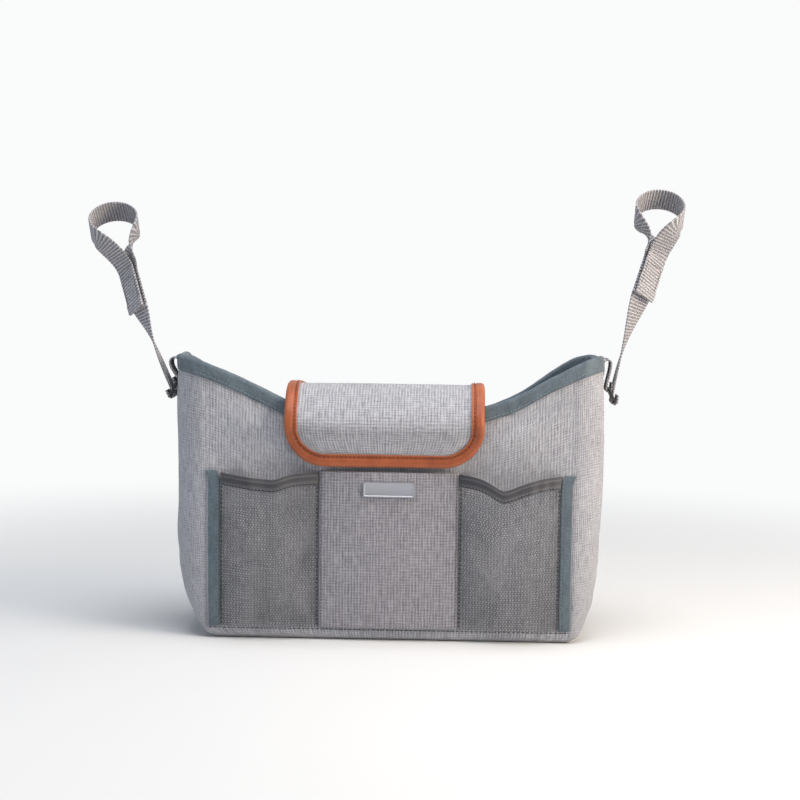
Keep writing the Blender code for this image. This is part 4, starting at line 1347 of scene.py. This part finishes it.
TOP_BAR = Vector((SLIDER_TOP_OUT, 0.0, SLIDER_TOP_HEIGHT))
LOW_BAR = TOP_BAR + SLIDER_DOWN * 2 * SLIDER_PITCH


def eased(start, start_way, stop, stop_way, count):
    """Points on a curve that leaves one point and reaches another along given ways."""
    reach = (stop - start).length
    made = []
    for t in steps(0.0, 1.0, count)[1:-1]:
        made.append(start * (2 * t ** 3 - 3 * t ** 2 + 1) + start_way * reach * (t ** 3 - 2 * t ** 2 + t)
                    + stop * (3 * t ** 2 - 2 * t ** 3) + stop_way * reach * (t ** 3 - t ** 2))
    return made


def wrap(bar, way):
    """Fold of webbing round a slider bar: a short end, the turn, then on along the way."""
    over = Vector((-way.z, 0.0, way.x))
    made = [bar - over * BAR_WRAP + way * FOLD_BACK]
    for angle in steps(0.0, pi, 12):
        made.append(bar + (-over * cos(angle) - way * sin(angle)) * BAR_WRAP)
    return made


def webbing(name, side_name, points, widths, hemmed=0):
    """Webbing along a line of points with its width directions, ribbed across and round-edged."""
    fine = smooth_curve(points, 8)
    turned = smooth_curve(widths, 8)
    lengths = [0.0]
    for near, far in zip(fine, fine[1:]):
        lengths.append(lengths[-1] + (far - near).length)
    rows = round(lengths[-1] / WEB_STEP)
    line = []
    i = 1
    for run in steps(0.0, lengths[-1], rows):
        while lengths[i] < run - 1e-9:
            i += 1
        share = (run - lengths[i - 1]) / (lengths[i] - lengths[i - 1])
        line.append((fine[i - 1].lerp(fine[i], share), turned[i - 1].lerp(turned[i], share)))
    side = SIDES[side_name]
    frames = []
    for j, (point, width) in enumerate(line):
        heading = (line[min(j + 1, rows)][0] - line[max(j - 1, 0)][0]).normalized()
        across = (width - heading * width.dot(heading)).normalized()
        frames.append((point, across, across.cross(heading)))

    def place(i, j):
        point, across, out = frames[j]
        run = j * lengths[-1] / rows
        wide = WEB_WIDTH * (1 + 0.012 * ripple(Vector((run, 2.0, 7.0)), 0.011)) - 2 * RIB_RISE
        along, up = folded_flat(i, WEB_AROUND, wide, WEB_HALF - RIB_RISE)
        rib = RIB_RISE * 2 * abs(sin(pi * (run + along * RIB_SLANT * (1 if up > 0 else -1)) / RIB_PITCH)) ** 0.7
        hem = rising(run, lengths[-1] - HEM_LENGTH, lengths[-1] - HEM_LENGTH + 0.0012)
        up += hemmed * hem * (WEB_HALF * 0.7 if up > 0 else 0.0)
        spot = point + across * along * (1 + rib / WEB_WIDTH) + out * up * (1 + rib / WEB_HALF)
        return Vector((side * spot.x, spot.y, spot.z))
    made = cloth_grid(name, WEB_AROUND, rows, place, (2 * WEB_WIDTH + 4 * WEB_HALF, lengths[-1]), closed=True)
    reshape(made, face_out)
    return made, lengths[-1]


def ribbed_webbing(name, pale, deep):
    """Heather webbing: crosswise ribs of pale and dark yarns in uneven specks, with painted highlight on the rib
    crests and painted shade in the gaps between them.
    """
    made, shader = material(name, 0.85, sheen=0.25, specular=0.2)
    place = on_weave(made)
    slanted = node(made, "Mapping", {"Vector": place, "Rotation": (0.0, 0.0, RIB_SLANT)}).outputs["Vector"]
    ribs = bands(made, slanted, "Y", WAVE / RIB_PITCH, 0.8, 300.0)
    # The rib waves both raise the bump and colour the crests pale and the gaps dark: painted highlight and painted
    # shade on top of the yarn specks.
    rib_relief_and_painted_light = spread(made, ribs, 0.35, 1.0)
    specks = streaks(made, place, 0.0016, 0.0005, True, 3.0)
    fine = streaks(made, place, 0.00045, 0.0022, True)
    both = combine(made, "ADD", specks, fine)
    yarn = spread(made, both, 0.70, 1.30)
    tone = combine(made, "MULTIPLY_ADD", rib_relief_and_painted_light, 0.6, yarn)
    tone = spread(made, tone, 0.25, 1.25)
    feed(made, shader, "Base Color", blend_colour(made, tone, deep, pale))
    height = combine(made, "ADD", rib_relief_and_painted_light, both)
    emboss(made, shader, height, 0.7, 0.0004)
    return made


def box_of_stitches(name, corner, wide_way, long_way, out, cross=True):
    """A sewn rectangle from its corner, with its diagonals."""
    wide, far, long = corner + wide_way, corner + wide_way + long_way, corner + long_way
    runs = [(corner, wide), (wide, far), (far, long), (long, corner)]
    if cross:
        runs += [(corner, far), (wide, long)]
    for k, (start, stop) in enumerate(runs):
        stitch_row(f"{name}_{k + 1}", [(start, out), (stop, out)], web_thread, "grey_webbing", 0.0020, 0.0007)


# The wide spread between the pale and the dark colour is partly real yarn contrast and partly painted rib highlight
# and gap shade.
web_cloth_painted_rib_light = ribbed_webbing("grey_webbing", (0.62, 0.60, 0.63, 1.0), (0.095, 0.09, 0.098, 1.0))
web_thread = thread("web_thread", (0.13, 0.125, 0.13))
for side_name, turn in SIDES.items():
    def off_wall(z, stand):
        return side_point(0.5, z, 0.0, side_name) + Vector((CLOTH_GAP + WEB_HALF + stand, 0.0, 0.0))

    tab_bend = TAB_BEND[side_name]
    step_height = CORNER_HEIGHT - BINDING_HEIGHT - 2 * WEB_HALF
    raised = off_wall(step_height, 0.0008 + CLOTH_GAP).x
    bend = Vector((raised + tab_bend, 0.0, TAB_TOP[side_name] - tab_bend))
    way = Vector((cos(TAB_LEAVE[side_name]), 0.0, sin(TAB_LEAVE[side_name])))
    points = wrap(TOP_BAR, way)
    points += eased(points[-1], way, bend + Vector((tab_bend, 0.0, 0.0)), Vector((0.0, 0.0, 1.0)), 6)
    points += [bend + Vector((cos(angle), 0.0, sin(angle))) * tab_bend for angle in steps(0.0, pi, 12)]
    points += [Vector((raised, 0.0, step_height + 0.001))]
    points += [off_wall(z, 0.0) for z in steps(step_height - TAB_STEP, TAB_LOW, 6)]
    tab, tab_length = webbing(side_name + "_side_tab_webbing", side_name, points, [FORWARD] * len(points))
    dress(tab, web_cloth_painted_rib_light, "grey_webbing", side_name + "_side_tab")
    low, high = (off_wall(TAB_LOW + up, WEB_HALF) for up in (0.002, 0.026))
    sewn = Vector((turn * low.x, 0.0072, low.z))
    box_of_stitches(side_name + "_tab_stitches", sewn, Vector((0.0, -0.0144, 0.0)),
                    Vector((turn * (high.x - low.x), 0.0, high.z - low.z)), Vector((turn, 0.0, 0.0)))


# Sliders. Moulded black plastic with three bars and two slots, modelled once and copied.
SLOT_PLAY = 0.0005
SLIDER_SIDE = 0.0025
SLIDER_CORNER = 0.0016
SLIDER_EDGE = 0.0005


def moulded(name):
    """Black nylon: a fine sparked texture, a little paler where it rubs."""
    made, shader = material(name, 0.42)
    place = on_object(made)
    grain = mottle(made, place, 2400.0, 3.0)
    broad = mottle(made, place, 90.0, 4.0)
    dark, light = (0.010, 0.011, 0.012, 1.0), (0.028, 0.030, 0.032, 1.0)
    feed(made, shader, "Base Color", blend_colour(made, broad, dark, light))
    feed(made, shader, "Roughness", spread(made, grain, 0.0, 1.0, 0.34, 0.52))
    emboss(made, shader, grain, 0.25, 0.0001)
    return made


half = WEB_WIDTH / 2 + SLOT_PLAY
SLIDER_ACROSS = (-half - SLIDER_SIDE, -half, half, half + SLIDER_SIDE)
SLIDER_ALONG = [bar * SLIDER_PITCH + edge for bar in range(3) for edge in (-BAR / 2, BAR / 2)]
bpy.ops.object.select_all(action="DESELECT")
bpy.ops.mesh.primitive_grid_add(x_subdivisions=3, y_subdivisions=5, size=2.0)
slider = bpy.context.object
slider.name = "right_slider_moulding"
for vert in slider.data.vertices:
    vert.co = (SLIDER_ACROSS[round((vert.co.x + 1) * 1.5)], SLIDER_ALONG[round((vert.co.y + 1) * 2.5)], -BAR / 2)
bpy.ops.object.mode_set(mode="EDIT")
pick(slider, "FACE", lambda face: abs(face.calc_center_median().x) < half and any(
    abs(face.calc_center_median().y - (slot + 0.5) * SLIDER_PITCH) < BAR / 2 for slot in range(2)))
bpy.ops.mesh.delete(type="FACE")
bpy.ops.mesh.select_all(action="SELECT")
bpy.ops.mesh.extrude_region_move(TRANSFORM_OT_translate={"value": (0.0, 0.0, BAR)})
bpy.ops.mesh.select_all(action="SELECT")
bpy.ops.mesh.normals_make_consistent(inside=False)
pick(slider, "EDGE", lambda edge: abs(edge.verts[0].co.z - edge.verts[1].co.z) > BAR / 2
     and abs(abs(edge.verts[0].co.x) - half - SLIDER_SIDE) < BAR / 4
     and min(abs(edge.verts[0].co.y - end) for end in (SLIDER_ALONG[0], SLIDER_ALONG[-1])) < BAR / 4)
bpy.ops.mesh.bevel(offset=SLIDER_CORNER, segments=5)
bpy.ops.object.mode_set(mode="OBJECT")
soften(slider, SLIDER_EDGE, 3)
hang = Matrix((
    (0.0, SLIDER_DOWN.x, SLIDER_OUT.x, TOP_BAR.x),
    (1.0, 0.0, 0.0, 0.0),
    (0.0, SLIDER_DOWN.z, SLIDER_OUT.z, TOP_BAR.z),
    (0.0, 0.0, 0.0, 1.0)))
slider.data.transform(hang)
if hang.determinant() < 0:
    slider.data.flip_normals()
left_slider = slider.copy()
left_slider.name = "left_slider_moulding"
left_slider.data = slider.data.copy()
left_slider.data.transform(Matrix.Rotation(pi, 4, "Z"))
bpy.context.collection.objects.link(left_slider)
plastic = moulded("black_plastic")
dress(slider, plastic, "black_plastic", "right_slider")
dress(left_slider, plastic, "black_plastic", "left_slider")


# Handle straps. Each goes from the slider's low bar up, a quarter turn round to the handlebar's
# place, over it and back down onto its own face, where hook and loop tape holds it.
HANDLE_RADIUS = 0.0180
LOOP_OUT = {"left": 0.2265, "right": 0.2122}
LOOP_HEIGHT = {"left": 0.3255, "right": 0.3407}
LOOP_LEAN = radians(51)
LOOP_START = radians(186)
LOOP_END = radians(-38)
CLOSURE_OUT = {"left": 0.2043, "right": 0.1985}
CLOSURE_FORWARD = 0.010
CLOSURE_HEIGHT = {"left": 0.2615, "right": 0.2775}
CLOSURE_LENGTH = 0.030
CLOSURE_LEAN = radians(19)
CLOSURE_PITCH = radians(20)
CLOSURE_TWIST = {"left": radians(50), "right": radians(58)}
STRAP_LEAVE = {"left": radians(66), "right": radians(84)}
CLOSURE_PULL = 0.35
TWIST_LATE = {"left": 1.8, "right": 1.5}
PATCH_THICKNESS = 0.0008
PATCH_MARGIN = 0.0015
TAIL_HEM = 0.004
LAYER = 2 * WEB_HALF + 2 * PATCH_THICKNESS + 3 * CLOTH_GAP


def closure_frame(side_name):
    """Down, across and face directions of the strap where its end is pressed on."""
    upright = Vector((-sin(CLOSURE_LEAN), 0.0, -cos(CLOSURE_LEAN)))
    down = upright * cos(CLOSURE_PITCH) + FORWARD * sin(CLOSURE_PITCH)
    ahead = FORWARD * cos(CLOSURE_PITCH) - upright * sin(CLOSURE_PITCH)
    inward = down.cross(ahead)
    across = ahead * cos(CLOSURE_TWIST[side_name]) + inward * sin(CLOSURE_TWIST[side_name])
    return down, across, across.cross(down)


def closure_low(side_name):
    return Vector((CLOSURE_OUT[side_name], -CLOSURE_FORWARD, CLOSURE_HEIGHT[side_name]))


def strap_line(side_name):
    """Points and width directions along a handle strap, as if it were on the right."""
    down, across, face = closure_frame(side_name)
    low = closure_low(side_name)
    high = low - down * CLOSURE_LENGTH
    way = Vector((cos(STRAP_LEAVE[side_name]), 0.0, sin(STRAP_LEAVE[side_name])))
    centre = Vector((LOOP_OUT[side_name], 0.0, LOOP_HEIGHT[side_name]))
    first = Vector((1.0, 0.0, 0.0))
    second = Vector((0.0, sin(LOOP_LEAN), cos(LOOP_LEAN)))
    radius = HANDLE_RADIUS + CLOTH_GAP + WEB_HALF
    grip_across = first.cross(second)

    def on_loop(angle):
        return centre + (first * cos(angle) + second * sin(angle)) * radius

    def loop_way(angle):
        return first * sin(angle) - second * cos(angle)

    points = wrap(LOW_BAR, way)
    widths = [FORWARD] * len(points)

    def run(more, start, stop, late=1.0):
        for k, point in enumerate(more):
            share = ((k + 1) / (len(more) + 1)) ** late
            points.append(point)
            widths.append(start.lerp(stop, share * share * (3 - 2 * share)).normalized())

    run(eased(points[-1], way, low, -down * CLOSURE_PULL, 12), FORWARD, across, TWIST_LATE[side_name])
    run([low, low.lerp(high, 0.5), high], across, across)
    run(eased(high, -down, on_loop(LOOP_START), loop_way(LOOP_START), 8), across, grip_across)
    run([on_loop(angle) for angle in steps(LOOP_START, LOOP_END, 20)], grip_across, grip_across)
    shift = face * LAYER
    run(eased(on_loop(LOOP_END), loop_way(LOOP_END), high + shift, down, 12), grip_across, across)
    tail = low + down * TAIL_HEM
    run([(high + shift).lerp(tail + shift, share) for share in (0.0, 0.5, 1.0)], across, across)
    return points, widths


def mirrored(side_name, vector):
    return Vector((SIDES[side_name] * vector.x, vector.y, vector.z))


def fuzzy(name, colour):
    """Hook and loop tape: a matted pile of dark loops."""
    made, shader = material(name, 0.95, sheen=0.4)
    place = on_object(made)
    pile = node(made, "TexVoronoi", {"Vector": place, "Scale": 1500.0}).outputs["Distance"]
    broad = mottle(made, place, 300.0, 4.0)
    feed(made, shader, "Base Color", blend_colour(made, broad, shade(colour, 0.5), shade(colour)))
    emboss(made, shader, pile, 0.9, 0.0004)
    return made


pile = fuzzy("hook_tape", (0.045, 0.045, 0.048))
PATCH_WIDTH = WEB_WIDTH - 2 * PATCH_MARGIN
PATCH_LENGTH = CLOSURE_LENGTH - 2 * PATCH_MARGIN
for side_name, turn in SIDES.items():
    strap, strap_length = webbing(side_name + "_handle_strap_webbing", side_name, *strap_line(side_name), hemmed=1)
    dress(strap, web_cloth_painted_rib_light, "grey_webbing", side_name + "_handle_strap")
    down, across, face = closure_frame(side_name)
    low = closure_low(side_name)
    for level, tape_name in enumerate(("loop_tape", "hook_tape")):
        depth = WEB_HALF + CLOTH_GAP + level * (PATCH_THICKNESS + CLOTH_GAP) + PATCH_THICKNESS

        def patch_place(i, j):
            flat_place = low - down * (PATCH_MARGIN + PATCH_LENGTH * j / 48) + across * PATCH_WIDTH * (i / 32 - 0.5)
            nap = 0.00022 * (0.5 + 0.5 * ripple(flat_place, 0.0011))
            return mirrored(side_name, flat_place + face * (depth - nap))
        patch = cloth_grid(f"{side_name}_{tape_name}_pile", 32, 48, patch_place, (PATCH_WIDTH, PATCH_LENGTH))
        give_wall(patch, (PATCH_THICKNESS - 0.00025) * turn)
        reshape(patch, face_out)
        dress(patch, pile, "hook_tape", f"{side_name}_{tape_name}")
    out = mirrored(side_name, face)
    corner = low + down * 0.0015 + across * (WEB_WIDTH / 2 - 0.0024) + face * (LAYER + WEB_HALF)
    ways = (corner, across * -(WEB_WIDTH - 0.0048), down * -0.026)
    box_of_stitches(side_name + "_strap_end_stitches", *(mirrored(side_name, way) for way in ways), out, False)


# Magnetic snap. Two pressed metal discs, one on the front wall and one under the flap's end,
# the panel's with a dish and the flap's with a stud.
SNAP_DISH = 0.0005


def snap_half(name, node_name, rise):
    """A disc with a rounded rim and a raised or sunk middle."""
    low, high = (Vector(corner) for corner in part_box(node_name))
    bpy.ops.object.select_all(action="DESELECT")
    bpy.ops.mesh.primitive_cylinder_add(vertices=48, radius=(high.x - low.x) / 2, depth=high.y - low.y,
                                        location=(low + high) / 2, rotation=(pi / 2, 0.0, 0.0))
    disc = bpy.context.object
    disc.name = name
    bpy.ops.object.transform_apply(location=True, rotation=True, scale=True)
    bpy.ops.object.mode_set(mode="EDIT")
    pick(disc, "FACE", lambda face: face.normal.y * rise > 0.9)
    bpy.ops.mesh.inset(thickness=(high.x - low.x) * 0.18)
    bpy.ops.mesh.inset(thickness=SNAP_DISH)
    bpy.ops.transform.translate(value=(0.0, -SNAP_DISH * rise, 0.0))
    bpy.ops.object.mode_set(mode="OBJECT")
    soften(disc, 0.0003, 3)
    return dress(disc, snap_metal, "satin_metal", node_name)


snap_metal = satin("snap_metal", (0.42, 0.43, 0.45), 1.0)
snap_half("panel_snap_disc", "panel_snap", -1)
snap_half("flap_snap_disc", "flap_snap", 1)
